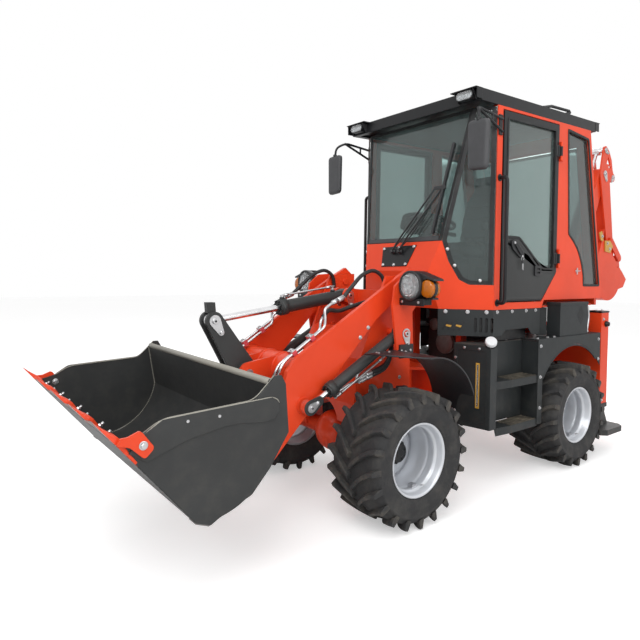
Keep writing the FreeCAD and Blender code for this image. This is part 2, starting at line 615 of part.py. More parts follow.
def roof_frame():
    """Bars round the roof, the roof sheet between them and the four corner brackets."""
    w, h = ROOF_BAR
    z = (ROOF_FRONT_Z, ROOF_FRONT_Z + h)
    outer = box((ROOF_REAR_X, ROOF_FRONT_X), (-ROOF_Y, ROOF_Y), z)
    inner = box((ROOF_REAR_X + w, ROOF_FRONT_X - w), (-ROOF_Y + w, ROOF_Y - w), (z[0] - 1, z[1] + 1))
    sheet = box((ROOF_REAR_X + 10, ROOF_FRONT_X - 10), (-ROOF_Y + 10, ROOF_Y - 10), (z[0] + 14, z[0] + 20))
    brackets = []
    for x, run in ((ROOF_FRONT_X, 1), (ROOF_REAR_X, -1)):
        for s in (-1, 1):
            y0, y1 = s * (ROOF_Y - 210), s * (ROOF_Y + 2)
            brackets.append(box(sorted((x - run * 5, x + run * 62)), sorted((y0, y1)), (z[1] - 6, z[1])))
            brackets.append(box(sorted((x - run * 5, x + run * 50)), sorted((y1, y1 - s * 6)), (z[1] - 70, z[1])))
    loops = []
    for s in (-1, 1):
        run = [V(x, s * (ROOF_Y - ROOF_LOOP_R - 2), z_) for x, z_ in ROOF_LOOP]
        loops += [bar(a, b, ROOF_LOOP_R) for a, b in zip(run, run[1:])]
        loops += [Part.makeSphere(ROOF_LOOP_R, spot) for spot in run[1:-1]]
    return fused([raked(fused([outer.cut(inner), sheet] + brackets))] + loops)


def roof_lamps():
    """Four oval work lamps that hang in the corner brackets."""
    lamps = []
    w, h = ROOF_BAR
    z = ROOF_FRONT_Z + h - 6 - SEAT_GAP
    for x, run in ((ROOF_FRONT_X, 1), (ROOF_REAR_X, -1)):
        for s in (-1, 1):
            y = s * (ROOF_Y - 104)
            low, high = sorted((x + run * 8, x + run * 48))
            lamp = fused([box((low, high), (y - 38, y + 38), (z - 62, z)),
                          Part.makeCylinder(31, high - low, V(low, y - 38, z - 31), V(1, 0, 0)),
                          Part.makeCylinder(31, high - low, V(low, y + 38, z - 31), V(1, 0, 0))])
            lamps.append(lamp)
    return raked(Part.makeCompound(lamps))


def mirror():
    """Left mirror: its arm on the A post and the housing."""
    arm = [bar((880, 662, 2475), (1140, 662, 2500), 9), bar((1140, 662, 2500), (1205, 720, 2460), 9),
           bar((880, 662, 2390), (1140, 662, 2498), 9)]
    pad = box((862, 902), (CAB_SIDE_Y + SEAT_GAP, 664), (2370, 2500))
    housing = box((1188, 1222), (640, 800), (2080, 2400))
    drop = bar((1205, 720, 2465), (1205, 720, 2390), 9)
    return fused(arm + [pad, housing, drop])


def seat_pads():
    cushion = box((180, 660), (-240, 240), (1560, 1680))
    top = 1680 + SEAT_GAP
    back = plate_xz([(180, top), (290, top), (185, 2300), (85, 2300)], (-230, 230))
    return Part.makeCompound([cushion, back])


def controls():
    """Seat pedestal, steering column with its wheel, and the side consoles."""
    pedestal = box((230, 610), (-190, 190), (CAB_FLOOR_Z + FLOOR_THICK + SEAT_GAP, 1560 - SEAT_GAP))
    column = bar((1010, 0, CAB_FLOOR_Z + FLOOR_THICK + 11.7), (860, 0, 1800), 45)
    wheel = Part.makeTorus(190, 15, V(850, 0, 1835), V(-0.23, 0, 0.95))
    spokes = [bar((850, 0, 1835), (850, s * 188, 1835), 10) for s in (-1, 1)]
    hub = bar((860, 0, 1795), (849, 0, 1840), 28)
    lever = [bar((560, s * 330, 1500), (600, s * 330, 1790), 10) for s in (-1, 1)]
    console = [box((60, 620), sorted((s * 270, s * 400)), (CAB_FLOOR_Z + FLOOR_THICK + SEAT_GAP, 1500))
               for s in (-1, 1)]
    front = fused([column, wheel, hub] + spokes)
    return Part.makeCompound([pedestal, front] + [fused([c, k]) for c, k in zip(console, lever)])


def door():
    """Left door frame with its dark lower panel."""
    y = (CAB_SIDE_Y - CAB_WALL + 2, CAB_SIDE_Y + DOOR_PROUD)
    outline = [(DOOR_X[1], DOOR_LOW_Z), (DOOR_X[1], door_top(DOOR_X[1])), (DOOR_X[0], door_top(DOOR_X[0])),
               DOOR_CUT[0], DOOR_CUT[1]]
    f = DOOR_FRAME
    window = [(DOOR_X[1] - f, 1700), (DOOR_X[1] - f, door_top(DOOR_X[1]) - f), (DOOR_X[0] + f, door_top(DOOR_X[0]) - f),
              (DOOR_X[0] + f, 1490), (340, 1490), (DOOR_X[1] - 200, 1700)]
    leaf = plate_xz(outline, y).cut(plate_xz(window, (y[0] - 5, y[1] + 5)))
    knuckles = [hinge_knuckle((z - HINGE_LENGTH / 2, z + HINGE_LENGTH / 2), (HINGE_X, DOOR_X[0] + 25), y[1] - 1)
                for z in HINGE_HEIGHTS]
    return fused([leaf] + knuckles)


def door_glass():
    f = DOOR_FRAME + SEAT_GAP
    window = [(DOOR_X[1] - f, 1700 + SEAT_GAP), (DOOR_X[1] - f, door_top(DOOR_X[1]) - f),
              (DOOR_X[0] + f, door_top(DOOR_X[0]) - f), (DOOR_X[0] + f, 1490 + SEAT_GAP), (340, 1490 + SEAT_GAP),
              (DOOR_X[1] - 200, 1700 + SEAT_GAP)]
    return plate_xz(window, (CAB_SIDE_Y - 18, CAB_SIDE_Y - 18 + GLASS_THICK))


# ---- front frame ----------------------------------------------------------------------------------
def front_frame():
    """Box between the front wheels with the two towers that carry the loader."""
    side = [(1345, FRONT_BOX_Z), (1345, 1434), (1571, 1422), (1704, 1083), (1785, 906), (1831, 626),
            (1831, FRONT_BOX_Z)]
    plates = [plate_xz(side, sorted((s * TOWER_Y[0], s * TOWER_Y[1]))) for s in (-1, 1)]
    inside = (-TOWER_Y[0] - 2, TOWER_Y[0] + 2)
    cover = plate_xz([(1704, 1083), (1785, 906), (1831, 626), (1831, FRONT_BOX_Z), (1811, FRONT_BOX_Z),
                      (1811, 622), (1766, 900), (1685, 1083)], inside)
    arch = Part.makeCylinder(150, 60, V(1800, 0, FRONT_BOX_Z - 30), V(1, 0, 0))
    deck = box((1345, 1800), inside, (760, 780))
    floor = box((1345, 1400), inside, (FRONT_BOX_Z, FRONT_BOX_Z + 20))
    rear = box((1345, 1365), inside, (FRONT_BOX_Z, 1000))
    tie = box((1540, 1600), inside, (1190, 1330))
    outer = [(1471, 940), (1612, 940), (1657, 1235), (1640, 1360), (1560, 1425), (1433, 1435), (1375, 1375),
             (1400, 1290), (1484, 1199)]
    columns = [plate_xz(outer, sorted((s * COLUMN_PLATE_Y[0], s * COLUMN_PLATE_Y[1]))) for s in (-1, 1)]
    webs = [box((1471, 1612), sorted((s * 304, s * 450)), (930, 950)) for s in (-1, 1)]
    pins = [pin_y(place, PIN_R, sorted((s * (TOWER_Y[0] - 12), s * (COLUMN_PLATE_Y[1] + 8)))) for s in (-1, 1)
            for place in (BOOM_PIVOT, LIFT_BASE)]
    ears = [strap(TILT_BASE, 50, (1580, 1270), 58, sorted((s * TILT_EAR_Y[0], s * TILT_EAR_Y[1])))
            for s in (-1, 1)]
    tilt_pin = pin_y(TILT_BASE, PIN_R, (-TILT_EAR_Y[1] - 8, TILT_EAR_Y[1] + 8))
    tongue = []
    inner_z = (RAIL_Z[0] + PLATE + WORKING_GAP, RAIL_Z[1] - PLATE - WORKING_GAP)
    tongue.append(plate_xy([(1350, -200), (1350, 200), (ARTICULATION_X, 65), (ARTICULATION_X, -65)], inner_z))
    tongue.append(Part.makeCylinder(65, inner_z[1] - inner_z[0], V(ARTICULATION_X, 0, inner_z[0]), UP))
    body = fused(plates + [cover, deck, floor, rear, tie] + columns + webs + ears + tongue)
    bore = Part.makeCylinder(30 + SEAT_GAP, 400, V(ARTICULATION_X, 0, 500), UP)
    return fused([body.cut(Part.makeCompound([arch, bore]))] + pins + [tilt_pin])


def front_fender():
    """Left mudguard: a level front that curves down behind the wheel."""
    t = 8.0
    top, radius = 968.0, 380.0
    centre = (1650.0, top - radius)
    outer = fused([pin_y(centre, radius, (410, 800)), box((1650, 1990), (410, 800), (top - 60, top))])
    inner = fused([pin_y(centre, radius - t, (400, 810)), box((1650, 2000), (400, 810), (top - 70, top - t))])
    strip = outer.cut(inner).cut(box((1000, 2100), (390, 820), (0, centre[1] + 10)))
    strip = strip.cut(box((1650, 2100), (390, 820), (0, top - t - 0.5)))
    strip = strip.common(box((1270, 2000), (400, 810), (580, 1000)))
    plan = plate_xy([(1880, 470), (1880, FENDER_EDGE_Y), (1260, FENDER_EDGE_Y), (1260, 600), (1296, 700),
                     (1296, 800), (1690, 800), (1790, 640)],
                    (500, 1100))
    bracket = box((1485, 1600), (COLUMN_PLATE_Y[1] + SEAT_GAP, COLUMN_PLATE_Y[1] + 14), (915, 1000))
    return fused([strip.common(plan), bracket])


def headlamp():
    """Left headlamp drum with its amber side lamp, on a bracket beside the tower."""
    drum = Part.makeCylinder(78, 90, V(1505, 536, 1374), V(1, 0, 0))
    amber = fused([box((1480, 1570), (590, 665), (1310, 1400))])
    foot = box((1500, 1570), (COLUMN_PLATE_Y[1] + SEAT_GAP, 640), (1268, 1290))
    post = box((1515, 1555), (520, 550), (1285, 1300))
    return fused([drum, amber, foot, post])


# ---- loader ---------------------------------------------------------------------------------------
def loader_boom():
    """Two arms, the cross tube and the two brackets that hold the bellcrank."""
    nose_r = 120.0
    arm = [(1340, 1430), (1400, 1478), (1484, 1433), (2287, 960), (2345, 890), (2368, 800), (2500, 560),
           (2660, 435), (2668, 330), (2600, 290), (2530, 310), (1691, 1154), (1551, 1250), (1400, 1290), (1352, 1340)]
    plate = plate_xz(arm, ARM_Y)
    plate = fused([plate, pin_y(BUCKET_PIN, 85, ARM_Y)])
    boss = pin_y(LIFT_EYE, 48, (ARM_Y[1] - 2, ARM_Y[1] + 5))
    left = fused([plate, boss]).cut(pin_y(BOOM_PIVOT, PIN_R + SEAT_GAP, (200, 500)))
    left = left.cut(pin_y(BUCKET_PIN, PIN_R + SEAT_GAP, (200, 500)))
    tube = pin_y(CROSS_TUBE, CROSS_TUBE_R, (-ARM_Y[0] - 2, ARM_Y[0] + 2))
    brackets = [strap(CROSS_TUBE, 85, BELLCRANK_PIVOT, 60, sorted((s * 75, s * 95))) for s in (-1, 1)]
    bore = pin_y(BELLCRANK_PIVOT, PIN_R + SEAT_GAP, (-200, 200))
    return fused([left, mirrored(left), tube] + brackets).cut(bore)


def bellcrank():
    """Two lever plates on one hub."""
    y = (26.0, 46.0)
    plates = []
    for s in (-1, 1):
        side = sorted((s * y[0], s * y[1]))
        plates += [strap(BELLCRANK_PIVOT, 78, TILT_EYE, 52, side), strap(BELLCRANK_PIVOT, 78, LINK_REAR, 50, side)]
    hub = pin_y(BELLCRANK_PIVOT, 55, (-69, 69))
    pin = pin_y(LINK_REAR, PIN_R, (-50, 50))
    body = fused(plates + [hub]).cut(pin_y(BELLCRANK_PIVOT, PIN_R + SEAT_GAP, (-200, 200)))
    return body


def tilt_link():
    body = strap(LINK_REAR, 42, LINK_FRONT, 42, (-20, 20))
    body = body.cut(pin_y(LINK_REAR, PIN_R + SEAT_GAP, (-100, 100)))
    return fused([body, pin_y(LINK_FRONT, PIN_R - 2, (-20 - 3, 20 + 3))])


def bucket_shell_outline(inset):
    """Side view of the loader bucket's floor and back, drawn inwards by inset."""
    lip = (3385.0, 790.0)
    heel = (3050.0, 388.0)
    low = (2790.0, 462.0)
    knee = (2662.0, 690.0)
    rim = (2702.0, 935.0)
    floor_a = along(lip, heel, 0, -inset)
    floor_b = along(lip, heel, math.hypot(lip[0] - heel[0], lip[1] - heel[1]), -inset)
    mid = (low[0] + inset * 0.72, low[1] + inset * 0.69)
    back_a = along(knee, rim, 0, -inset)
    back_b = along(knee, rim, math.hypot(knee[0] - rim[0], knee[1] - rim[1]), -inset)
    return floor_a, floor_b, mid, back_a, back_b


def bucket_prism(inset, half):
    a, b, m, c, d = bucket_shell_outline(inset)
    spot = [V(p[0], -half, p[1]) for p in (a, b, m, c, d)]
    edges = [Part.LineSegment(spot[0], spot[1]).toShape(), Part.Arc(spot[1], spot[2], spot[3]).toShape(),
             Part.LineSegment(spot[3], spot[4]).toShape(), Part.LineSegment(spot[4], spot[0]).toShape()]
    return Part.Face(Part.Wire(edges)).extrude(V(0, 2 * half, 0))


def loader_bucket():
    """Open bucket: rolled shell, side plates with their strips, rim bar and the hinge ears behind."""
    inner_half = BUCKET_HALF - BUCKET_SIDE
    shell = bucket_prism(0.0, inner_half + 2).cut(bucket_prism(SHELL, inner_half + 3))
    mouth = plate_xz([(2702 + 13, 955), (2715, 925), (3378, 780), (3410, 815), (3200, 1100), (2800, 1100)],
                     (-inner_half - 5, inner_half + 5))
    shell = shell.cut(mouth)
    outline = [(3373, 778), (3056, 397), (2992, 372), (2955, 392), (2798, 455), (2708, 553), (2609, 702),
               (2628, 927), (2652, 968), (2680, 968), (2784, 870), (3198, 848), (3274, 804)]
    strip = [(3276, 802), (3200, 850), (2700, 874), (2668, 850), (2662, 812), (2690, 775), (2745, 768), (2850, 782),
             (2932, 781), (3100, 752), (3262, 694), (3330, 740)]
    left = fused([plate_xz(outline, (inner_half, BUCKET_HALF)), plate_xz(strip, (BUCKET_HALF - 1, BUCKET_HALF + 6))])
    rim_bar = pin_y((2700, 940), 15, (-inner_half - 1, inner_half + 1))
    ears = []
    for y in ((291, 312), (356, 377)):
        for s in (-1, 1):
            ear = fused([plate_xz([(2680, 640), (2560, 420), (2600, 310), (2810, 440), (2790, 500)],
                                  sorted((s * y[0], s * y[1]))), pin_y(BUCKET_PIN, 72, sorted((s * y[0], s * y[1])))])
            ears.append(ear)
    for s in (-1, 1):
        side = sorted((s * 26, s * 46))
        ears.append(strap(LINK_FRONT, 48, LINK_ROOT, 60, side))
    inside = bucket_prism(SHELL, inner_half + 3)
    ears = [ear.cut(inside) for ear in ears]
    body = fused([shell, left, mirrored(left), rim_bar] + ears)
    bores = [pin_y(BUCKET_PIN, PIN_R + SEAT_GAP, (-500, 500)), pin_y(LINK_FRONT, PIN_R + 12, (-25, 25))]
    return body.cut(bores[0])


def bucket_teeth():
    """Five bolt-on teeth along the cutting edge; the outer two wrap round the corners."""
    lip, heel = (3385.0, 790.0), (3050.0, 388.0)
    teeth = []
    span = BUCKET_HALF - 32.0
    back = along(lip, heel, 150, 11.0)
    under = along(lip, heel, 150, 1.0 - 1.0 + SEAT_GAP)
    nose = along(lip, heel, -99)
    front_top = along(lip, heel, -10, 24.0)
    front_low = along(lip, heel, -10, SEAT_GAP)
    for k in range(TOOTH_COUNT):
        y = -span + 2 * span * k / (TOOTH_COUNT - 1)
        tooth = plate_xz([under, front_low, nose, front_top, back], (y - 38, y + 38))
        teeth.append(tooth)
    return Part.makeCompound(teeth)


# ---- backhoe --------------------------------------------------------------------------------------
def swing_post():
    """Casting that turns on the swing pin and carries the boom's foot and the boom cylinder."""
    z = (SWING_Z[0] + SWING_EAR_THICK + WORKING_GAP, SWING_Z[1] - SWING_EAR_THICK - WORKING_GAP)
    core = Part.makeCylinder(80, z[1] - z[0], V(SWING_X, 0, z[0]), UP)
    pin = Part.makeCylinder(SWING_PIN_R, SWING_Z[1] - SWING_Z[0] + 24, V(SWING_X, 0, SWING_Z[0] - 12), UP)
    cheeks = []
    for s in (-1, 1):
        side = sorted((s * 76, s * 98))
        cheeks.append(plate_xz([(SWING_X - CHEEK_BACK, z[0]), (SWING_X - CHEEK_BACK, z[1]), (-850, 735), (-935, 690), (-960, 590),
                                (-1085, 520), (-1090, 440), (-1040, 415), (-880, 430), (-800, z[0])], side))
    back, front = SWING_X - CHEEK_BACK, SWING_X - CHEEK_BACK - 45
    web = plate_xz([(back, z[0]), (back, z[1]), (front, z[1]), (front, z[0])], (-99, 99))
    pins = [pin_y(BOOM_ROOT, PIN_R + 4, (-104, 104)), pin_y(BOOM_CYL_BASE, PIN_R, (-104, 104))]
    return fused([core, pin, web] + cheeks + pins)


def backhoe_boom():
    """Bent box boom with the lugs for its own cylinder and for the dipper's."""
    y = (-DIG_BOOM_Y, DIG_BOOM_Y)
    lower = strap(BOOM_ROOT, 72, BOOM_ELBOW, 74, y)
    upper = strap(BOOM_ELBOW, 78, DIPPER_PIVOT, 62, y)
    lugs = []
    for s in (-1, 1):
        side = sorted((s * 48, s * 68))
        lugs.append(strap(BOOM_CYL_EYE, 46, along(BOOM_ROOT, BOOM_ELBOW, 850), 70, side))
        lugs.append(strap(DIPPER_CYL_BASE, 46, along(BOOM_ROOT, BOOM_ELBOW, 800), 70, side))
    pin = pin_y(DIPPER_CYL_BASE, PIN_R, (-76, 76))
    body = fused([lower, upper] + lugs)
    body = body.cut(pin_y(BOOM_ROOT, PIN_R + 4 + SEAT_GAP, (-200, 200)))
    return fused([body, pin])


def dipper():
    """Two cheeks from the horn to the digging end, boxed in below the boom's head."""
    cheeks = []
    for s in (-1, 1):
        side = sorted((s * DIPPER_SIDE_Y[0], s * DIPPER_SIDE_Y[1]))
        cheek = fused([strap(DIPPER_PIVOT, 95, HORN_PIN, 45, side), strap(DIPPER_PIVOT, 95, DIG_PIN, 58, side),
                       strap(DIPPER_PIVOT, 95, CURL_CYL_BASE, 45, side), plate_xz(HORN_EDGE, side)])
        holes = [plate_xz(hole, (side[0] - 1, side[1] + 1)) for hole in HORN_HOLES]
        cheeks.append(cheek.cut(holes))
    top, low = along(DIPPER_PIVOT, DIG_PIN, 260), along(DIPPER_PIVOT, DIG_PIN, 640)
    box_section = strap(top, 66, low, 54, (-DIPPER_SIDE_Y[0] - 1, DIPPER_SIDE_Y[0] + 1))
    pins = [pin_y(DIPPER_PIVOT, PIN_R + 4, (-98, 98)), pin_y(CURL_CYL_BASE, PIN_R, (-98, 98)),
            pin_y(DIG_PIN, PIN_R, (-118, 118)), pin_y(ROCKER_PIN, PIN_R, (-118, 118))]
    return fused(cheeks + [box_section] + pins)


def boom_head_bore(shape):
    return shape.cut(pin_y(DIPPER_PIVOT, PIN_R + 4 + SEAT_GAP, (-200, 200)))


def dig_arc(radius, start, end):
    """Arc of the digging bucket's shell, angles in degrees."""
    spots = []
    for angle in (start, (start + end) / 2, end):
        a = math.radians(angle)
        spots.append((DIG_CENTRE[0] + radius * math.cos(a), DIG_CENTRE[1] + radius * math.sin(a)))
    return spots


def dig_prism(inset, half):
    lip = DIG_LIP
    a, b, c = dig_arc(DIG_R - inset, 12, -188)
    start = (lip[0] - inset, lip[1] - inset * 0.3)
    spot = [V(p[0], -half, p[1]) for p in (start, a, b, c)]
    edges = [Part.LineSegment(spot[0], spot[1]).toShape(), Part.Arc(spot[1], spot[2], spot[3]).toShape(),
             Part.LineSegment(spot[3], spot[0]).toShape()]
    return Part.Face(Part.Wire(edges)).extrude(V(0, 2 * half, 0))


def backhoe_bucket():
    """Digging bucket: rolled shell, side plates, hinge ears and teeth."""
    shell = dig_prism(0, DIG_HALF).cut(dig_prism(12, DIG_HALF - 12))
    end = dig_arc(DIG_R, 12, -188)[2]
    span = math.hypot(end[0] - DIG_LIP[0], end[1] - DIG_LIP[1])
    cut = plate_xz([along(DIG_LIP, end, 13, 18), along(DIG_LIP, end, span - 8, 18), along(DIG_LIP, end, span + 20, -80),
                    along(DIG_LIP, end, 13, -80)], (-DIG_HALF + 12, DIG_HALF - 12))
    shell = shell.cut(cut)
    ears = []
    for s in (-1, 1):
        side = sorted((s * 98, s * 114))
        ears.append(fused([strap(DIG_PIN, 52, CURL_PIN, 50, side),
                           plate_xz([(-1895, 1608), (-1990, 1580), (-2110, 1500), (-2205, 1420), (-2140, 1335),
                                     (-1960, 1300), (-1960, 1500)], side)]).cut(dig_prism(12, DIG_HALF)))
    teeth = []
    run = math.degrees(math.atan2(DIG_LIP[1] - 1560, DIG_LIP[0] + 1425))
    base = (DIG_LIP[0] + 12, DIG_LIP[1] - 45)
    tip = (DIG_LIP[0] - 42, DIG_LIP[1] + 88)
    for k in range(4):
        y = -DIG_HALF + 30 + k * (2 * DIG_HALF - 60) / 3
        teeth.append(plate_xz([(base[0] - 16, base[1]), (base[0] + 14, base[1] + 8), tip, (tip[0] - 8, tip[1] - 4)],
                              (y - 22, y + 22)))
    slot = box((-2010, -1880), (-DIG_SLOT_Y, DIG_SLOT_Y), (1436, 1640))
    body = fused([shell.cut(slot)] + ears + teeth)
    return body.cut(pin_y(DIG_PIN, PIN_R + SEAT_GAP, (-200, 200)))


def rocker():
    """Two bars from the dipper to the bucket cylinder's rod."""
    bars = []
    for s in (-1, 1):
        side = sorted((s * 98, s * 112))
        bars.append(strap(ROCKER_PIN, 38, ROCKER_END, 38, side))
    stubs = [pin_y(ROCKER_END, PIN_R, sorted((s * 37, s * 113))) for s in (-1, 1)]
    body = Part.makeCompound([fused([a, b]) for a, b in zip(bars, stubs)])
    return body.cut(pin_y(ROCKER_PIN, PIN_R + SEAT_GAP, (-200, 200)))


def bucket_link():
    """Link from the rocker to the bucket's curl pin."""
    sides = [strap(ROCKER_END, 36, CURL_PIN, 36, sorted((s * 60, s * 88))) for s in (-1, 1)]
    middle = along(ROCKER_END, CURL_PIN, 130)
    body = fused(sides + [pin_y(middle, 22, (-62, 62))]).cut(pin_y(ROCKER_END, PIN_R + SEAT_GAP, (-200, 200)))
    stubs = [pin_y(CURL_PIN, PIN_R, sorted((s * 60, s * 97))) for s in (-1, 1)]
    return fused([body] + stubs)


def stabiliser_leg():
    """Left leg: square tube inside its column, with the foot plate."""
    g = COLUMN_WALL + LEG_CLEARANCE
    x = (COLUMN_X[0] + g, COLUMN_X[1] - g)
    y = (COLUMN_Y[0] + g, COLUMN_Y[1] - g)
    cx, cy = sum(x) / 2, sum(y) / 2
    tube = box(x, y, (FOOT_Z[1] - 5, LEG_TOP_Z))
    h = FOOT_SIZE / 2
    c = 45.0
    foot = plate_xy([(cx - h + c, cy - h), (cx + h - c, cy - h), (cx + h, cy - h + c), (cx + h, cy + h - c),
                     (cx + h - c, cy + h), (cx - h + c, cy + h), (cx - h, cy + h - c), (cx - h, cy - h + c)], FOOT_Z)
    gussets = []
    top, low = COLUMN_Z[0] - GUSSET_DROP, FOOT_Z[1] - 1
    for gy in (y[0] + 10, y[1] - 10 - GUSSET):
        gussets.append(plate_xz([(cx - h + c, low), (cx - h + c, low + 12), (x[0] + 1, top), (x[1] - 1, top),
                                 (cx + h - c, low + 12), (cx + h - c, low)], (gy, gy + GUSSET)))
    return fused([tube, foot] + gussets)


def pins(places, radius, y):
    return Part.makeCompound([pin_y(p, radius, side) for p in places for side in y])


def main():
    os.makedirs("parts", exist_ok=True)
    wheels()
    save("rear_frame", rear_frame())
    save("rear_axle", axle(0.0, (190, 270), RAIL_Z[0]))
    save("engine_block", box(ENGINE_X, (-ENGINE_Y, ENGINE_Y), ENGINE_Z))
    save("side_tanks", pair(side_tank()))
    save("side_steps", pair(side_steps()))
    save("rear_fenders", pair(rear_fender()))
    save("battery_box", pair(battery_box()))
    save("cab_skirts", pair(cab_skirt()))
    save("cab_floor", cab_floor())
    save("cab_sides", pair(cab_side()))
    save("cab_rear", cab_rear())
    save("cab_glass", cab_glass())
    save("roof_frame", roof_frame())
    save("roof_lamps", roof_lamps())
    save("mirrors", pair(mirror()))
    save("seat_pads", seat_pads())
    save("controls", controls())
    left_door, left_glass = door(), door_glass()
    save("door_left", left_door)
    save("door_right", mirrored(left_door))
    save("door_glass_left", left_glass)
    save("door_glass_right", mirrored(left_glass))
    save("front_frame", front_frame())
    save("front_axle", axle(WHEELBASE, (240, 320), FRONT_BOX_Z))
    save("front_fenders", pair(front_fender()))
    save("headlamps", pair(headlamp()))
    save("loader_boom", loader_boom())
    save("bucket_pins", pins([BUCKET_PIN], PIN_R, ((-385, -285), (285, 385))))
    save("bellcrank_pin", pins([BELLCRANK_PIVOT], PIN_R, ((-102, 102),)))
    save("link_pin", pins([LINK_REAR], PIN_R, ((-54, 54),)))
    save("bellcrank", bellcrank().cut(pin_y(LINK_REAR, PIN_R + SEAT_GAP, (-100, 100))))
    save("tilt_link", tilt_link())
    save("loader_bucket", loader_bucket())
    save("bucket_teeth", bucket_teeth())
    lift_b = barrel(LIFT_BASE, LIFT_EYE, 640, 34, CYLINDER_Y, 26)
    lift_r = rod(LIFT_BASE, LIFT_EYE, LIFT_PISTON, 34, CYLINDER_Y, 20, (ARM_Y[1] + 6, CYLINDER_Y + 26))
    save("lift_barrels", pair(lift_b))
    save("lift_rods", pair(lift_r))
    save("tilt_barrel", barrel(TILT_BASE, TILT_EYE, 520, 40, 0, 36))
    save("tilt_rod", rod(TILT_BASE, TILT_EYE, TILT_PISTON, 40, 0, 24, (-25, 25)))
    save("swing_post", swing_post())
    save("backhoe_boom", boom_head_bore(backhoe_boom()))
    save("dipper", dipper())
    save("backhoe_bucket", backhoe_bucket())
    save("rocker", rocker())
    save("bucket_link", bucket_link())
    save("boom_barrel", barrel(BOOM_CYL_BASE, BOOM_CYL_EYE, 600, 42, 0, 46))
    save("boom_rod", rod(BOOM_CYL_BASE, BOOM_CYL_EYE, BOOM_PISTON, 42, 0, 36, (-47, 47)))
    save("dipper_barrel", barrel(DIPPER_CYL_BASE, HORN_PIN, 1000, 34, 0, 42))
    save("dipper_rod", rod(DIPPER_CYL_BASE, HORN_PIN, DIPPER_PISTON, 34, 0, 36, (-70, 70)))
    save("curl_barrel", barrel(CURL_CYL_BASE, ROCKER_END, 466, 32, 0, 36))
    save("curl_rod", rod(CURL_CYL_BASE, ROCKER_END, CURL_PISTON, 32, 0, 30, (-31, 31)))
    leg = stabiliser_leg()
    save("leg_left", leg)
    save("leg_right", mirrored(leg))


main()
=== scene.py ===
"""Looks of a compact articulated backhoe loader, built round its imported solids."""
import logging
import math
from dataclasses import dataclass, field
from enum import Enum
from typing import Iterable, Sequence

import bmesh
import bpy
from mathutils import Matrix, Vector


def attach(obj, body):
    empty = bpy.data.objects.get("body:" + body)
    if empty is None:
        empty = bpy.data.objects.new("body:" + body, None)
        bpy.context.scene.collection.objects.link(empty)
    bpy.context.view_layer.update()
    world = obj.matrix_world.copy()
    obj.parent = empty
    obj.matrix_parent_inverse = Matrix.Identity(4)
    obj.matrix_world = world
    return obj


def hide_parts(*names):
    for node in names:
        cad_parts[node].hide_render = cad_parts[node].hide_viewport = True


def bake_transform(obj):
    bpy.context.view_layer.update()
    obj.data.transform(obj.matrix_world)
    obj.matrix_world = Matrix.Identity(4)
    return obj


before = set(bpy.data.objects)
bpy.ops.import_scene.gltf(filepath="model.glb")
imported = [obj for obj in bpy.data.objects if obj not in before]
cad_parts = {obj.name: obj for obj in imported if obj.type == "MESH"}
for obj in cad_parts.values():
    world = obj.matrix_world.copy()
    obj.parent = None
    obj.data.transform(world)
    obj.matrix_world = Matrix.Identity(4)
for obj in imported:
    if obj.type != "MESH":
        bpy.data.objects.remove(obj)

log = logging.getLogger("backhoe_loader")

Point = tuple[float, float, float]
Flat = tuple[float, float]
Colour = tuple[float, float, float]

MM = 0.001
PIPE_R = 0.0085
THIN_PIPE_R = 0.0075
HOSE_R = 0.0125
LIFT_HOSE_R = 0.0135
REAR_AXLE = -639.0
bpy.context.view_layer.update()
SIDES = (1, -1)


def at(x: float, y: float, z: float) -> Vector:
    """Place given in millimetres from the rear axle, as metres in the model's frame."""
    return Vector(((x + REAR_AXLE) * MM, y * MM, z * MM))


def srgb(red: int, green: int, blue: int) -> Colour:
    """Linear colour of a paint card read as eight-bit steps."""
    def channel(step: int) -> float:
        value = step / 255.0
        return value / 12.92 if value <= 0.04045 else ((value + 0.055) / 1.055) ** 2.4
    return channel(red), channel(green), channel(blue)


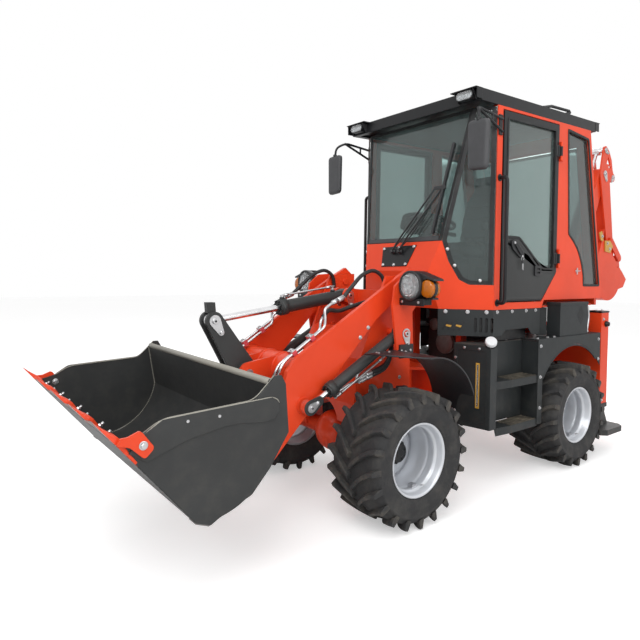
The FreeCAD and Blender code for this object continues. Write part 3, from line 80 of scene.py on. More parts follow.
# ---- finishes -------------------------------------------------------------------------------------
class Nodes:
    """A short way to write a material's node tree."""

    def __init__(self, name: str) -> None:
        """Make an empty material with a principled shader."""
        self.material = bpy.data.materials.new(name)
        self.material.use_nodes = True
        self.tree = self.material.node_tree
        self.shader = self.tree.nodes["Principled BSDF"]
        self.place = self.tree.nodes.new("ShaderNodeTexCoord").outputs["Object"]

    def add(self, kind: str, **settings: object) -> bpy.types.Node:
        """Add one node and set its attributes."""
        node = self.tree.nodes.new(kind)
        for key, value in settings.items():
            setattr(node, key, value)
        return node

    def link(self, out: bpy.types.NodeSocket, into: bpy.types.NodeSocket) -> None:
        """Join two sockets."""
        self.tree.links.new(out, into)

    def noise(self, scale: float, detail: float = 3.0, rough: float = 0.5) -> bpy.types.NodeSocket:
        """Noise on the piece's own place."""
        node = self.add("ShaderNodeTexNoise")
        node.inputs["Scale"].default_value = scale
        node.inputs["Detail"].default_value = detail
        node.inputs["Roughness"].default_value = rough
        self.link(self.place, node.inputs["Vector"])
        return node.outputs["Fac"]

    def ramp(self, source: bpy.types.NodeSocket, stops: Sequence[tuple[float, Colour]]) -> bpy.types.NodeSocket:
        """Colour ramp over a factor."""
        node = self.add("ShaderNodeValToRGB")
        while len(node.color_ramp.elements) < len(stops):
            node.color_ramp.elements.new(0.5)
        for element, (spot, colour) in zip(node.color_ramp.elements, stops):
            element.position = spot
            element.color = (*colour, 1.0)
        self.link(source, node.inputs["Fac"])
        return node.outputs["Color"]

    def span(self, source: bpy.types.NodeSocket, low: float, high: float, start: float = 0.0,
             end: float = 1.0) -> bpy.types.NodeSocket:
        """Map a factor from one span to another."""
        node = self.add("ShaderNodeMapRange")
        for key, value in (("From Min", start), ("From Max", end), ("To Min", low), ("To Max", high)):
            node.inputs[key].default_value = value
        self.link(source, node.inputs["Value"])
        return node.outputs["Result"]

    def mix(self, factor: bpy.types.NodeSocket, first: bpy.types.NodeSocket | Colour,
            second: bpy.types.NodeSocket | Colour) -> bpy.types.NodeSocket:
        """Mix two colours."""
        node = self.add("ShaderNodeMix", data_type="RGBA")
        self.link(factor, node.inputs["Factor"])
        for key, colour in (("A", first), ("B", second)):
            socket = [s for s in node.inputs if s.name == key and s.type == "RGBA"][0]
            if isinstance(colour, bpy.types.NodeSocket):
                self.link(colour, socket)
            else:
                socket.default_value = (*colour, 1.0)
        return [s for s in node.outputs if s.type == "RGBA"][0]

    def bump(self, height: bpy.types.NodeSocket, strength: float, distance: float,
             under: bpy.types.NodeSocket | None = None) -> None:
        """Bump the shader's normal, over another one where it is given."""
        node = self.add("ShaderNodeBump")
        if under is not None:
            self.link(under, node.inputs["Normal"])
        node.inputs["Strength"].default_value = strength
        node.inputs["Distance"].default_value = distance
        self.link(height, node.inputs["Height"])
        self.link(node.outputs["Normal"], self.shader.inputs["Normal"])

    def set(self, **values: float) -> None:
        """Set sockets of the shader; underscores stand for spaces."""
        for key, value in values.items():
            self.shader.inputs[key.replace("_", " ")].default_value = value


@dataclass(frozen=True)
class Paint:
    """Sprayed enamel: a faint cloud in the colour, orange peel, and dust on what lies low."""

    name: str
    colour: Colour
    roughness: float = 0.32
    cloud: float = 0.10
    dust: float = 0.10
    peel: float = 0.05
    coat: float = 0.25
    metallic: float = 0.0
    edge: float = 0.004
    gloss: float = 0.24

    def build(self) -> bpy.types.Material:
        """Make the material."""
        n = Nodes(self.name)
        dark = tuple(c * (1.0 - self.cloud) for c in self.colour)
        light = tuple(min(1.0, c * (1.0 + self.cloud)) for c in self.colour)
        body = n.ramp(n.noise(3.5, 4.0), [(0.35, dark), (0.65, light)])
        split = n.add("ShaderNodeSeparateXYZ")
        n.link(n.place, split.inputs["Vector"])
        low = n.span(split.outputs["Z"], self.dust, 0.0, 0.0, 1.1)
        patch = n.span(n.noise(14.0, 5.0, 0.65), 0.0, 1.0, 0.45, 0.8)
        both = n.add("ShaderNodeMath", operation="MULTIPLY")
        n.link(low, both.inputs[0])
        n.link(patch, both.inputs[1])
        n.link(n.mix(both.outputs[0], body, srgb(150, 138, 120)), n.shader.inputs["Base Color"])
        n.link(n.span(n.noise(22.0, 4.0), self.roughness - 0.06, self.roughness + 0.10), n.shader.inputs["Roughness"])
        soft = n.add("ShaderNodeBevel", samples=3)
        soft.inputs["Radius"].default_value = self.edge
        n.bump(n.noise(420.0, 2.0), self.peel, 0.002, soft.outputs["Normal"])
        n.set(Coat_Weight=self.coat, Coat_Roughness=0.12, Metallic=self.metallic, Specular_IOR_Level=self.gloss)
        return n.material


@dataclass(frozen=True)
class Metal:
    """Bare or plated metal with a fine brushed break-up."""

    name: str
    colour: Colour
    roughness: float = 0.3
    grain: float = 0.08

    def build(self) -> bpy.types.Material:
        """Make the material."""
        n = Nodes(self.name)
        dark = tuple(c * 0.82 for c in self.colour)
        n.link(n.ramp(n.noise(30.0, 5.0), [(0.3, dark), (0.7, self.colour)]), n.shader.inputs["Base Color"])
        n.link(n.span(n.noise(90.0, 4.0), self.roughness - 0.08, self.roughness + 0.12), n.shader.inputs["Roughness"])
        n.bump(n.noise(700.0, 2.0), self.grain, 0.001)
        n.set(Metallic=1.0)
        return n.material


@dataclass(frozen=True)
class Rubber:
    """Tyre or hose rubber: matt, with paler scuffs and a fine grain."""

    name: str
    colour: Colour
    scuff: Colour
    roughness: float = 0.72
    grain: float = 0.25

    def build(self) -> bpy.types.Material:
        """Make the material."""
        n = Nodes(self.name)
        patch = n.span(n.noise(9.0, 6.0, 0.7), 0.0, 1.0, 0.45, 0.75)
        fine = n.noise(60.0, 4.0)
        body = n.ramp(fine, [(0.3, tuple(c * 0.75 for c in self.colour)), (0.7, self.colour)])
        n.link(n.mix(patch, body, self.scuff), n.shader.inputs["Base Color"])
        n.link(n.span(fine, self.roughness - 0.1, self.roughness + 0.1), n.shader.inputs["Roughness"])
        n.bump(n.noise(260.0, 4.0, 0.6), self.grain, 0.002)
        n.set(Specular_IOR_Level=0.35)
        return n.material


@dataclass(frozen=True)
class Plastic:
    """Moulded plastic with a fine leather-like grain."""

    name: str
    colour: Colour
    roughness: float = 0.5
    grain: float = 0.15
    scale: float = 350.0

    def build(self) -> bpy.types.Material:
        """Make the material."""
        n = Nodes(self.name)
        dark = tuple(c * 0.8 for c in self.colour)
        n.link(n.ramp(n.noise(12.0, 4.0), [(0.3, dark), (0.7, self.colour)]), n.shader.inputs["Base Color"])
        n.link(n.span(n.noise(40.0, 3.0), self.roughness - 0.07, self.roughness + 0.08), n.shader.inputs["Roughness"])
        cells = n.add("ShaderNodeTexVoronoi")
        cells.inputs["Scale"].default_value = self.scale
        n.link(n.place, cells.inputs["Vector"])
        n.bump(cells.outputs["Distance"], self.grain, 0.001)
        return n.material


@dataclass(frozen=True)
class Glazing:
    """Tinted safety glass."""

    name: str
    colour: Colour
    clear: float = 0.9
    roughness: float = 0.02

    def build(self) -> bpy.types.Material:
        """Make the material."""
        n = Nodes(self.name)
        edge = tuple(c * 0.9 for c in self.colour)
        n.link(n.ramp(n.noise(1.2, 2.0), [(0.3, edge), (0.7, self.colour)]), n.shader.inputs["Base Color"])
        n.link(n.span(n.noise(6.0, 3.0), self.roughness, self.roughness + 0.03), n.shader.inputs["Roughness"])
        n.set(Transmission_Weight=self.clear, IOR=1.45)
        return n.material


@dataclass(frozen=True)
class PaintedReflectionBoard:
    """Pale board of small lamps, unlit, with painted reflection: each cell's pale middle fades to a dark rim to stand
    in for light caught by the faceted reflector.
    """

    name: str
    colour: Colour
    scale: float = 90.0

    def build(self) -> bpy.types.Material:
        """Make the material."""
        n = Nodes(self.name)
        cells = n.add("ShaderNodeTexVoronoi")
        cells.inputs["Scale"].default_value = self.scale
        n.link(n.place, cells.inputs["Vector"])
        # painted reflection: pale cell middles fading to rims at under half the brightness stand in for light on the
        # reflector facets
        dark = tuple(c * 0.45 for c in self.colour)
        n.link(n.ramp(cells.outputs["Distance"], [(0.1, self.colour), (0.6, dark)]), n.shader.inputs["Base Color"])
        n.link(n.span(n.noise(50.0), 0.15, 0.3), n.shader.inputs["Roughness"])
        n.set(Metallic=0.5)
        return n.material


class Finishes:
    """All finishes of the machine, made once."""

    def __init__(self) -> None:
        """Build each finish."""
        recipes = {
            "orange": Paint("orange_enamel", srgb(226, 68, 31), roughness=0.36, cloud=0.05, coat=0.16),
            "charcoal": Paint("charcoal_enamel", srgb(54, 55, 55), roughness=0.42, cloud=0.09, coat=0.08, peel=0.09),
            "graphite": Paint("graphite_enamel", srgb(43, 46, 47), roughness=0.44, cloud=0.09, coat=0.06, peel=0.09),
            "black": Paint("black_enamel", srgb(26, 27, 29), roughness=0.36, cloud=0.08, coat=0.12),
            "white": Paint("rim_enamel", srgb(205, 208, 213), roughness=0.3, cloud=0.04, coat=0.3, metallic=0.35,
                           gloss=0.45),
            "gold": Paint("ochre_enamel", srgb(196, 150, 64), roughness=0.4, cloud=0.12),
            "steel": Metal("zinc_steel", (0.62, 0.62, 0.63), 0.32),
            "chrome": Metal("chromed_rod", (0.86, 0.86, 0.87), 0.12, 0.02),
            "worn": Metal("worn_steel", (0.28, 0.27, 0.26), 0.5, 0.2),
            "tyre": Rubber("tyre_rubber", (0.028, 0.028, 0.029), (0.058, 0.055, 0.051)),
            "tread": Rubber("tread_rubber", (0.034, 0.034, 0.035), (0.10, 0.088, 0.072), 0.7, 0.3),
            "hose": Rubber("hose_rubber", (0.02, 0.02, 0.021), (0.035, 0.035, 0.035), 0.5, 0.12),
            "plastic": Plastic("black_plastic", (0.016, 0.016, 0.018), 0.42),
            "grey_plastic": Plastic("grey_plastic", (0.045, 0.046, 0.05), 0.5),
            "red_plastic": Plastic("clamp_plastic", srgb(214, 84, 92), 0.4),
            "vinyl": Plastic("seat_vinyl", (0.035, 0.035, 0.038), 0.42, 0.3, 500.0),
            "glass": Glazing("cab_glass", (0.34, 0.43, 0.42)),
            "clear_glass": Glazing("door_glass", (0.56, 0.66, 0.64)),
            "seal": Rubber("window_seal", (0.012, 0.012, 0.013), (0.03, 0.03, 0.03), 0.5, 0.08),
            "led": PaintedReflectionBoard("led_board", srgb(235, 238, 240)),
            "lens": Glazing("lamp_lens", (0.92, 0.94, 0.95), 0.85, 0.08),
            "amber": Glazing("amber_lens", srgb(255, 140, 20), 0.55, 0.12),
            "lamp_white": Plastic("lamp_face", srgb(226, 228, 230), 0.35, 0.05),
            # painted highlight: pale grey for the bucket's plate edges, rim bar and weld beads where they catch the
            # light
            "rim_grey": Paint("painted_edge_highlight", srgb(150, 147, 138), roughness=0.45, cloud=0.12, coat=0.05),
            "tread_plate": Paint("scuffed_tread", srgb(74, 70, 62), roughness=0.6, cloud=0.3, coat=0.0, dust=0.9),
            "mirror": Metal("mirror_glass", (0.75, 0.78, 0.8), 0.1, 0.0),
        }
        self.made = {key: recipe.build() for key, recipe in recipes.items()}

    def __getitem__(self, key: str) -> bpy.types.Material:
        """Return a finish by its plain name."""
        return self.made[key]


# ---- mesh building --------------------------------------------------------------------------------
class Form:
    """A mesh under construction, in metres in the model's frame."""

    def __init__(self, name: str) -> None:
        """Start an empty piece."""
        self.name = name
        self.mesh = bmesh.new()
        self.finishes: list[bpy.types.Material] = []

    def slot(self, finish: bpy.types.Material) -> int:
        """Index of a finish on this piece."""
        if finish not in self.finishes:
            self.finishes.append(finish)
        return self.finishes.index(finish)

    def _faces(self, rings: Sequence[Sequence[Vector]], finish: bpy.types.Material, closed: bool, smooth: bool,
               caps: bool = True) -> None:
        """Skin over equal rings of points."""
        index = self.slot(finish)
        rows = [[self.mesh.verts.new(p) for p in ring] for ring in rings]
        count = len(rows[0])
        made = []
        pairs = list(zip(rows, rows[1:])) + ([(rows[-1], rows[0])] if closed else [])
        for low, high in pairs:
            for i in range(count):
                j = (i + 1) % count
                made.append(self.mesh.faces.new((low[i], low[j], high[j], high[i])))
        if caps and not closed:
            made.append(self.mesh.faces.new(rows[0][::-1]))
            made.append(self.mesh.faces.new(rows[-1]))
        for face in made:
            face.material_index = index
            face.smooth = smooth

    def prism(self, outline: Sequence[Vector], push: Vector, finish: bpy.types.Material) -> "Form":
        """Flat outline pushed along a vector."""
        self._faces([list(outline), [p + push for p in outline]], finish, False, False)
        return self

    def block(self, low: Vector, high: Vector, finish: bpy.types.Material) -> "Form":
        """Block between two corners."""
        x0, y0, z0 = low
        x1, y1, z1 = high
        floor = [Vector((x0, y0, z0)), Vector((x1, y0, z0)), Vector((x1, y1, z0)), Vector((x0, y1, z0))]
        return self.prism(floor, Vector((0, 0, z1 - z0)), finish)

    def rod(self, start: Vector, end: Vector, radius: float, finish: bpy.types.Material, sides: int = 24,
            radius_end: float | None = None) -> "Form":
        """Round bar, or a cone when the end has its own radius."""
        return self.turned(start, end - start, [(radius, 0.0), (radius_end or radius, (end - start).length)], finish,
                           sides)

    def turned(self, start: Vector, heading: Vector, profile: Sequence[Flat], finish: bpy.types.Material,
               sides: int = 32, smooth: bool = True, closed: bool = False) -> "Form":
        """Turned piece: (radius, distance) pairs along a heading."""
        axis = heading.normalized()
        side = axis.orthogonal().normalized()
        up = axis.cross(side)
        rings = []
        for radius, along in profile:
            centre = start + axis * along
            rings.append([centre + (side * math.cos(a) + up * math.sin(a)) * max(radius, 1e-5)
                          for a in (2 * math.pi * k / sides for k in range(sides))])
        self._faces(rings, finish, closed, smooth)
        return self

    def tube(self, path: Sequence[Vector], radius: float, finish: bpy.types.Material, bend: float = 0.03,
             sides: int = 12, closed: bool = False) -> "Form":
        """Round tube along a route whose corners are rounded."""
        line = rounded(path, bend, closed)
        rings = []
        count = len(line)
        if closed:
            before = [line[k - 1] for k in range(count)]
            after = [line[(k + 1) % count] for k in range(count)]
        else:
            before = [line[max(k - 1, 0)] for k in range(count)]
            after = [line[min(k + 1, count - 1)] for k in range(count)]
        side = (after[0] - before[0]).orthogonal().normalized()
        for k in range(count):
            axis = (after[k] - before[k]).normalized()
            side = (side - axis * side.dot(axis)).normalized()
            up = axis.cross(side)
            rings.append([line[k] + (side * math.cos(a) + up * math.sin(a)) * radius
                          for a in (2 * math.pi * i / sides for i in range(sides))])
        self._faces(rings, finish, closed, True)
        return self

    def take(self, data: bpy.types.Mesh, finish: bpy.types.Material) -> "Form":
        """Add a finished mesh to the piece and throw the mesh away."""
        index = self.slot(finish)
        before = len(self.mesh.faces)
        self.mesh.from_mesh(data)
        self.mesh.faces.ensure_lookup_table()
        for face in self.mesh.faces[before:]:
            face.material_index = index
        bpy.data.meshes.remove(data)
        return self

    def plate(self, outline: Sequence[Flat], y: Flat, finish: bpy.types.Material) -> "Form":
        """Upright plate along X from its side outline, both in millimetres from the rear axle."""
        return self.prism([at(x, y[0], z) for x, z in outline], Vector((0, (y[1] - y[0]) * MM, 0)), finish)

    def boss(self, place: Flat, y: Flat, radius: float, finish: bpy.types.Material, sides: int = 32,
             round_mm: float = 1.5) -> "Form":
        """Round boss along Y with softened rims, in millimetres from the rear axle."""
        length = abs(y[1] - y[0]) * MM
        r, e = radius * MM, round_mm * MM
        start, end = at(place[0], y[0], place[1]), at(place[0], y[1], place[1])
        return self.turned(start, end - start, [(r - e, 0), (r, e), (r, length - e), (r - e, length)], finish, sides,
                           smooth=False)

    def twin(self) -> "Form":
        """Add the mirror image of everything built so far."""
        made = bmesh.ops.duplicate(self.mesh, geom=self.mesh.verts[:] + self.mesh.edges[:] + self.mesh.faces[:])
        fresh = [g for g in made["geom"] if isinstance(g, bmesh.types.BMVert)]
        for vert in fresh:
            vert.co.y = -vert.co.y
        bmesh.ops.reverse_faces(self.mesh, faces=[g for g in made["geom"] if isinstance(g, bmesh.types.BMFace)])
        return self

    def _plain(self, name: str) -> bpy.types.Object:
        """Object of the mesh so far, for use as a template."""
        bmesh.ops.recalc_face_normals(self.mesh, faces=self.mesh.faces)
        data = bpy.data.meshes.new(name)
        self.mesh.to_mesh(data)
        self.mesh.free()
        for finish in self.finishes:
            data.materials.append(finish)
        thing = bpy.data.objects.new(name, data)
        bpy.context.scene.collection.objects.link(thing)
        return thing

    def done(self, body: str, bevel: float = 0.0, segments: int = 2, angle: float = 40.0,
             join: bool = True) -> bpy.types.Object:
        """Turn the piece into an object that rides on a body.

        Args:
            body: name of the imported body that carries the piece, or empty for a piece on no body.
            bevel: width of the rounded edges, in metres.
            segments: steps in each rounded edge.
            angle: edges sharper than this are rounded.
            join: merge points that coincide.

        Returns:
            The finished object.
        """
        if join:
            bmesh.ops.remove_doubles(self.mesh, verts=self.mesh.verts, dist=1e-6)
        bmesh.ops.recalc_face_normals(self.mesh, faces=self.mesh.faces)
        data = bpy.data.meshes.new(self.name)
        self.mesh.to_mesh(data)
        self.mesh.free()
        for finish in self.finishes:
            data.materials.append(finish)
        thing = bpy.data.objects.new(self.name, data)
        bpy.context.scene.collection.objects.link(thing)
        if bevel > 0:
            edge = thing.modifiers.new("edges", "BEVEL")
            edge.width = bevel
            edge.segments = segments
            edge.limit_method = "ANGLE"
            edge.angle_limit = math.radians(angle)
            edge.use_clamp_overlap = True
        if body:
            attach(thing, body)
        log.info("%s rides on %s", self.name, body or "two bodies")
        return thing


class Repeater:
    """Copies a small shape by Geometry Nodes: in a ring about an axle, or onto listed places."""

    def __init__(self) -> None:
        """Build the two trees."""
        self.ring_tree = self._ring()
        self.spread_tree = self._spread()

    @staticmethod
    def _start(name: str, sockets: Sequence[tuple[str, str]]) -> tuple[bpy.types.NodeTree, dict[str, bpy.types.Node]]:
        """Empty tree with its named inputs, the shape's node and the closing nodes.

        Args:
            name: the tree's name.
            sockets: names and types of the inputs after the geometry.

        Returns:
            The tree, and its nodes by a short name.
        """
        tree = bpy.data.node_groups.new(name, "GeometryNodeTree")
        tree.interface.new_socket("Geometry", in_out="INPUT", socket_type="NodeSocketGeometry")
        for label, kind in sockets:
            tree.interface.new_socket(label, in_out="INPUT", socket_type=kind)
        tree.interface.new_socket("Geometry", in_out="OUTPUT", socket_type="NodeSocketGeometry")
        kinds = {"into": "NodeGroupInput", "out": "NodeGroupOutput", "shape": "GeometryNodeObjectInfo",
                 "copy": "GeometryNodeInstanceOnPoints", "solid": "GeometryNodeRealizeInstances",
                 "dress": "GeometryNodeSetMaterial", "turn": "FunctionNodeEulerToRotation"}
        parts = {key: tree.nodes.new(kind) for key, kind in kinds.items()}
        link = tree.links.new
        link(parts["into"].outputs["Shape"], parts["shape"].inputs["Object"])
        link(parts["shape"].outputs["Geometry"], parts["copy"].inputs["Instance"])
        link(parts["turn"].outputs["Rotation"], parts["copy"].inputs["Rotation"])
        link(parts["copy"].outputs["Instances"], parts["solid"].inputs["Geometry"])
        link(parts["solid"].outputs["Geometry"], parts["dress"].inputs["Geometry"])
        link(parts["into"].outputs["Finish"], parts["dress"].inputs["Material"])
        link(parts["dress"].outputs["Geometry"], parts["out"].inputs["Geometry"])
        return tree, parts

    def _ring(self) -> bpy.types.NodeTree:
        """Tree that turns copies of a shape about the line through a centre along Y."""
        tree, parts = self._start("ring_of_copies", (("Shape", "NodeSocketObject"), ("Count", "NodeSocketInt"),
                                                     ("Phase", "NodeSocketFloat"), ("Centre", "NodeSocketVector"),
                                                     ("Finish", "NodeSocketMaterial")))
        link, new = tree.links.new, tree.nodes.new
        points = new("GeometryNodePoints")
        index, share, angle, phased = (new(kind) for kind in ("GeometryNodeInputIndex", "ShaderNodeMath",
                                                              "ShaderNodeMath", "ShaderNodeMath"))
        share.operation, angle.operation, phased.operation = "DIVIDE", "MULTIPLY", "ADD"
        angle.inputs[1].default_value = 2 * math.pi
        link(parts["into"].outputs["Count"], points.inputs["Count"])
        link(parts["into"].outputs["Centre"], points.inputs["Position"])
        link(index.outputs[0], share.inputs[0])
        link(parts["into"].outputs["Count"], share.inputs[1])
        link(share.outputs[0], angle.inputs[0])
        link(angle.outputs[0], phased.inputs[0])
        link(parts["into"].outputs["Phase"], phased.inputs[1])
        turn = new("ShaderNodeCombineXYZ")
        link(phased.outputs[0], turn.inputs["Y"])
        link(turn.outputs[0], parts["turn"].inputs["Euler"])
        link(points.outputs[0], parts["copy"].inputs["Points"])
        return tree

    def _spread(self) -> bpy.types.NodeTree:
        """Tree that sets a copy of a shape on each point, turned by the point's own angles."""
        tree, parts = self._start("copies_on_points", (("Shape", "NodeSocketObject"), ("Size", "NodeSocketFloat"),
                                                       ("Finish", "NodeSocketMaterial")))
        link = tree.links.new
        turn = tree.nodes.new("GeometryNodeInputNamedAttribute")
        turn.data_type = "FLOAT_VECTOR"
        turn.inputs["Name"].default_value = "turn"
        link(turn.outputs["Attribute"], parts["turn"].inputs["Euler"])
        link(parts["into"].outputs["Geometry"], parts["copy"].inputs["Points"])
        link(parts["into"].outputs["Size"], parts["copy"].inputs["Scale"])
        return tree

    @staticmethod
    def _result(host: bpy.types.Object, tree: bpy.types.NodeTree, values: dict[str, object]) -> bpy.types.Mesh:
        """Plain mesh that a tree makes on a host object; the host and the template go.

        Args:
            host: object that carries the modifier for a moment.
            tree: the tree to run.
            values: inputs by their names.

        Returns:
            The realized mesh.
        """
        modifier = host.modifiers.new("copies", "NODES")
        modifier.node_group = tree
        keys = {item.name: item.identifier for item in tree.interface.items_tree if item.in_out == "INPUT"}
        for label, value in values.items():
            modifier[keys[label]] = value
        bpy.context.view_layer.update()
        evaluated = host.evaluated_get(bpy.context.evaluated_depsgraph_get())
        data = bpy.data.meshes.new_from_object(evaluated)
        bpy.data.objects.remove(host)
        shape = values["Shape"]
        if isinstance(shape, bpy.types.Object):
            bpy.data.objects.remove(shape)
        return data

    def ring(self, shape: Form, count: int, phase: float, centre: Vector,
             finish: bpy.types.Material) -> bpy.types.Mesh:
        """Copies of a shape turned about the Y line through a centre.

        Args:
            shape: the template, built about the origin.
            count: number of copies.
            phase: angle of the first one, in radians.
            centre: point on the axle.
            finish: material of the copies.

        Returns:
            One mesh that holds all copies.
        """
        template = shape._plain(shape.name + "_template")
        host = bpy.data.objects.new("host", bpy.data.meshes.new("host"))
        bpy.context.scene.collection.objects.link(host)
        return self._result(host, self.ring_tree, {"Shape": template, "Count": count, "Phase": phase,
                                                   "Centre": centre, "Finish": finish})

    def spread(self, shape: Form, places: Sequence[tuple[Vector, Vector]], finish: bpy.types.Material,
               size: float = 1.0) -> bpy.types.Mesh:
        """Copies of a shape on listed places.

        Args:
            shape: the template, built about the origin with +Z as its outward side.
            places: for each copy its point and the direction that its +Z takes.
            finish: material of the copies.
            size: scale of the copies.

        Returns:
            One mesh that holds all copies.
        """
        template = shape._plain(shape.name + "_template")
        data = bpy.data.meshes.new("places")
        data.from_pydata([tuple(spot) for spot, _ in places], [], [])
        turn = data.attributes.new("turn", "FLOAT_VECTOR", "POINT")
        for k, (_, facing) in enumerate(places):
            turn.data[k].vector = facing.to_track_quat("Z", "Y").to_euler()
        host = bpy.data.objects.new("host", data)
        bpy.context.scene.collection.objects.link(host)
        return self._result(host, self.spread_tree, {"Shape": template, "Size": size, "Finish": finish})


def hex_head(name: str, radius: float = 9.0, height: float = 7.0) -> Form:
    """Hexagon bolt head on a round washer, in millimetres, standing on the origin along +Z."""
    form = Form(name)
    blank = bpy.data.materials.new(name)
    r, h = radius * MM, height * MM
    up = Vector((0, 0, 1))
    form.turned(Vector((0, 0, -0.0005)), up, [(r * 1.45, 0), (r * 1.45, 0.0018), (r * 1.3, 0.0025)], blank, 16, False)
    form.turned(Vector((0, 0, 0.0018)), up, [(r, 0), (r, h * 0.8), (r * 0.82, h)], blank, 6, False)
    return form


def rounded(path: Sequence[Vector], bend: float, closed: bool = False) -> list[Vector]:
    """Route with each corner replaced by a short arc."""
    count = len(path)
    out: list[Vector] = []
    for k, corner in enumerate(path):
        if not closed and k in (0, count - 1):
            out.append(corner.copy())
            continue
        before, after = path[k - 1], path[(k + 1) % count]
        first, second = (before - corner), (after - corner)
        reach = min(bend, first.length * 0.45, second.length * 0.45)
        start, end = corner + first.normalized() * reach, corner + second.normalized() * reach
        for step in range(7):
            t = step / 6
            out.append(start * (1 - t) ** 2 + corner * 2 * t * (1 - t) + end * t ** 2)
    return out


def over(points: Iterable[Vector], flip: Vector) -> list[Vector]:
    """The same points, each scaled by the signs of a side."""
    return [p * flip for p in points]


# ---- studio ---------------------------------------------------------------------------------------
@dataclass
class Studio:
    """Pale floor, soft lamps and the camera."""

    eye: Point = (3998.0, 2875.0, 1427.0)
    heading: Point = (-0.6276, -0.7779, -0.0320)
    across: Point = (-0.7785, 0.6275, 0.0145)
    focal_px: float = 551.36
    centre_px: Flat = (343.25, 292.29)
    frame_px: float = 640.0

    def build(self) -> None:
        """Make the floor, the lamps, the world and the camera."""
        self.camera()
        self.floor()
        self.lamps()
        self.world()
        bpy.context.scene.view_settings.view_transform = "Standard"

    def camera(self) -> None:
        """Place the camera with its small shift."""
        data = bpy.data.cameras.new("view_camera")
        data.sensor_width = 36.0
        data.lens = 36.0 * self.focal_px / self.frame_px
        half = self.frame_px / 2
        data.shift_x = (half - self.centre_px[0]) / self.frame_px
        data.shift_y = (self.centre_px[1] - half) / self.frame_px
        camera = bpy.data.objects.new("view_camera", data)
        forward = Vector(self.heading).normalized()
        right = Vector(self.across)
        right = (right - forward * right.dot(forward)).normalized()
        up = right.cross(forward)
        turn = Matrix((right, up, -forward)).transposed().to_4x4()
        camera.matrix_world = Matrix.Translation(at(*self.eye)) @ turn
        bpy.context.scene.collection.objects.link(camera)
        bpy.context.scene.camera = camera

    def backdrop_shade(self, name: str, colour: float) -> bpy.types.Material:
        """Pale floor that reads as white to the camera and keeps the shadow."""
        n = Nodes(name)
        n.link(n.ramp(n.noise(0.6, 2.0), [(0.2, (colour * 0.99,) * 3), (0.8, (colour,) * 3)]),
               n.shader.inputs["Base Color"])
        rays = n.add("ShaderNodeLightPath")
        lift = n.span(rays.outputs["Is Camera Ray"], 0.0, 0.42)
        n.link(lift, n.shader.inputs["Emission Strength"])
        n.set(Roughness=0.9, Specular_IOR_Level=0.1)
        n.shader.inputs["Emission Color"].default_value = (1.0, 1.0, 1.0, 1.0)
        return n.material

    def floor(self) -> None:
        """A wide level floor."""
        form = Form("studio_floor")
        form.block(Vector((-30, -30, -0.06)), Vector((30, 30, -0.0005)), self.backdrop_shade("pale_floor", 0.86))
        bmesh.ops.recalc_face_normals(form.mesh, faces=form.mesh.faces)
        data = bpy.data.meshes.new("studio_floor")
        form.mesh.to_mesh(data)
        form.mesh.free()
        data.materials.append(form.finishes[0])
        thing = bpy.data.objects.new("studio_floor", data)
        bpy.context.scene.collection.objects.link(thing)

    def lamps(self) -> None:
        """Large soft lamps."""
        for name, place, size, power in (("key_lamp", (5.5, 3.0, 6.5), 5.0, 330.0),
                                         ("fill_lamp", (1.0, 7.5, 4.0), 5.0, 170.0),
                                         ("rear_lamp", (-6.0, -3.0, 6.0), 5.0, 220.0)):
            data = bpy.data.lights.new(name, "AREA")
            data.energy = power
            data.size = size
            lamp = bpy.data.objects.new(name, data)
            lamp.location = place
            aim = Vector((0.2, 0.0, 1.0)) - Vector(place)
            lamp.rotation_mode = "QUATERNION"
            lamp.rotation_quaternion = aim.to_track_quat("-Z", "Y")
            bpy.context.scene.collection.objects.link(lamp)

    def world(self) -> None:
        """Even light on the machine, and white where the camera sees past it."""
        world = bpy.data.worlds.new("studio_world")
        world.use_nodes = True
        tree = world.node_tree
        back = tree.nodes["Background"]
        back.inputs["Color"].default_value = (1.0, 1.0, 1.0, 1.0)
        rays = tree.nodes.new("ShaderNodeLightPath")
        most = tree.nodes.new("ShaderNodeMath")
        most.operation = "MAXIMUM"
        seen = tree.nodes.new("ShaderNodeMath")
        seen.operation = "MAXIMUM"
        tree.links.new(rays.outputs["Is Camera Ray"], most.inputs[0])
        tree.links.new(rays.outputs["Is Transmission Ray"], most.inputs[1])
        tree.links.new(most.outputs[0], seen.inputs[0])
        tree.links.new(rays.outputs["Is Glossy Ray"], seen.inputs[1])
        level = tree.nodes.new("ShaderNodeMapRange")
        level.inputs["To Min"].default_value = 0.62
        level.inputs["To Max"].default_value = 1.0
        tree.links.new(seen.outputs[0], level.inputs["Value"])
        tree.links.new(level.outputs["Result"], back.inputs["Strength"])
        bpy.context.scene.world = world


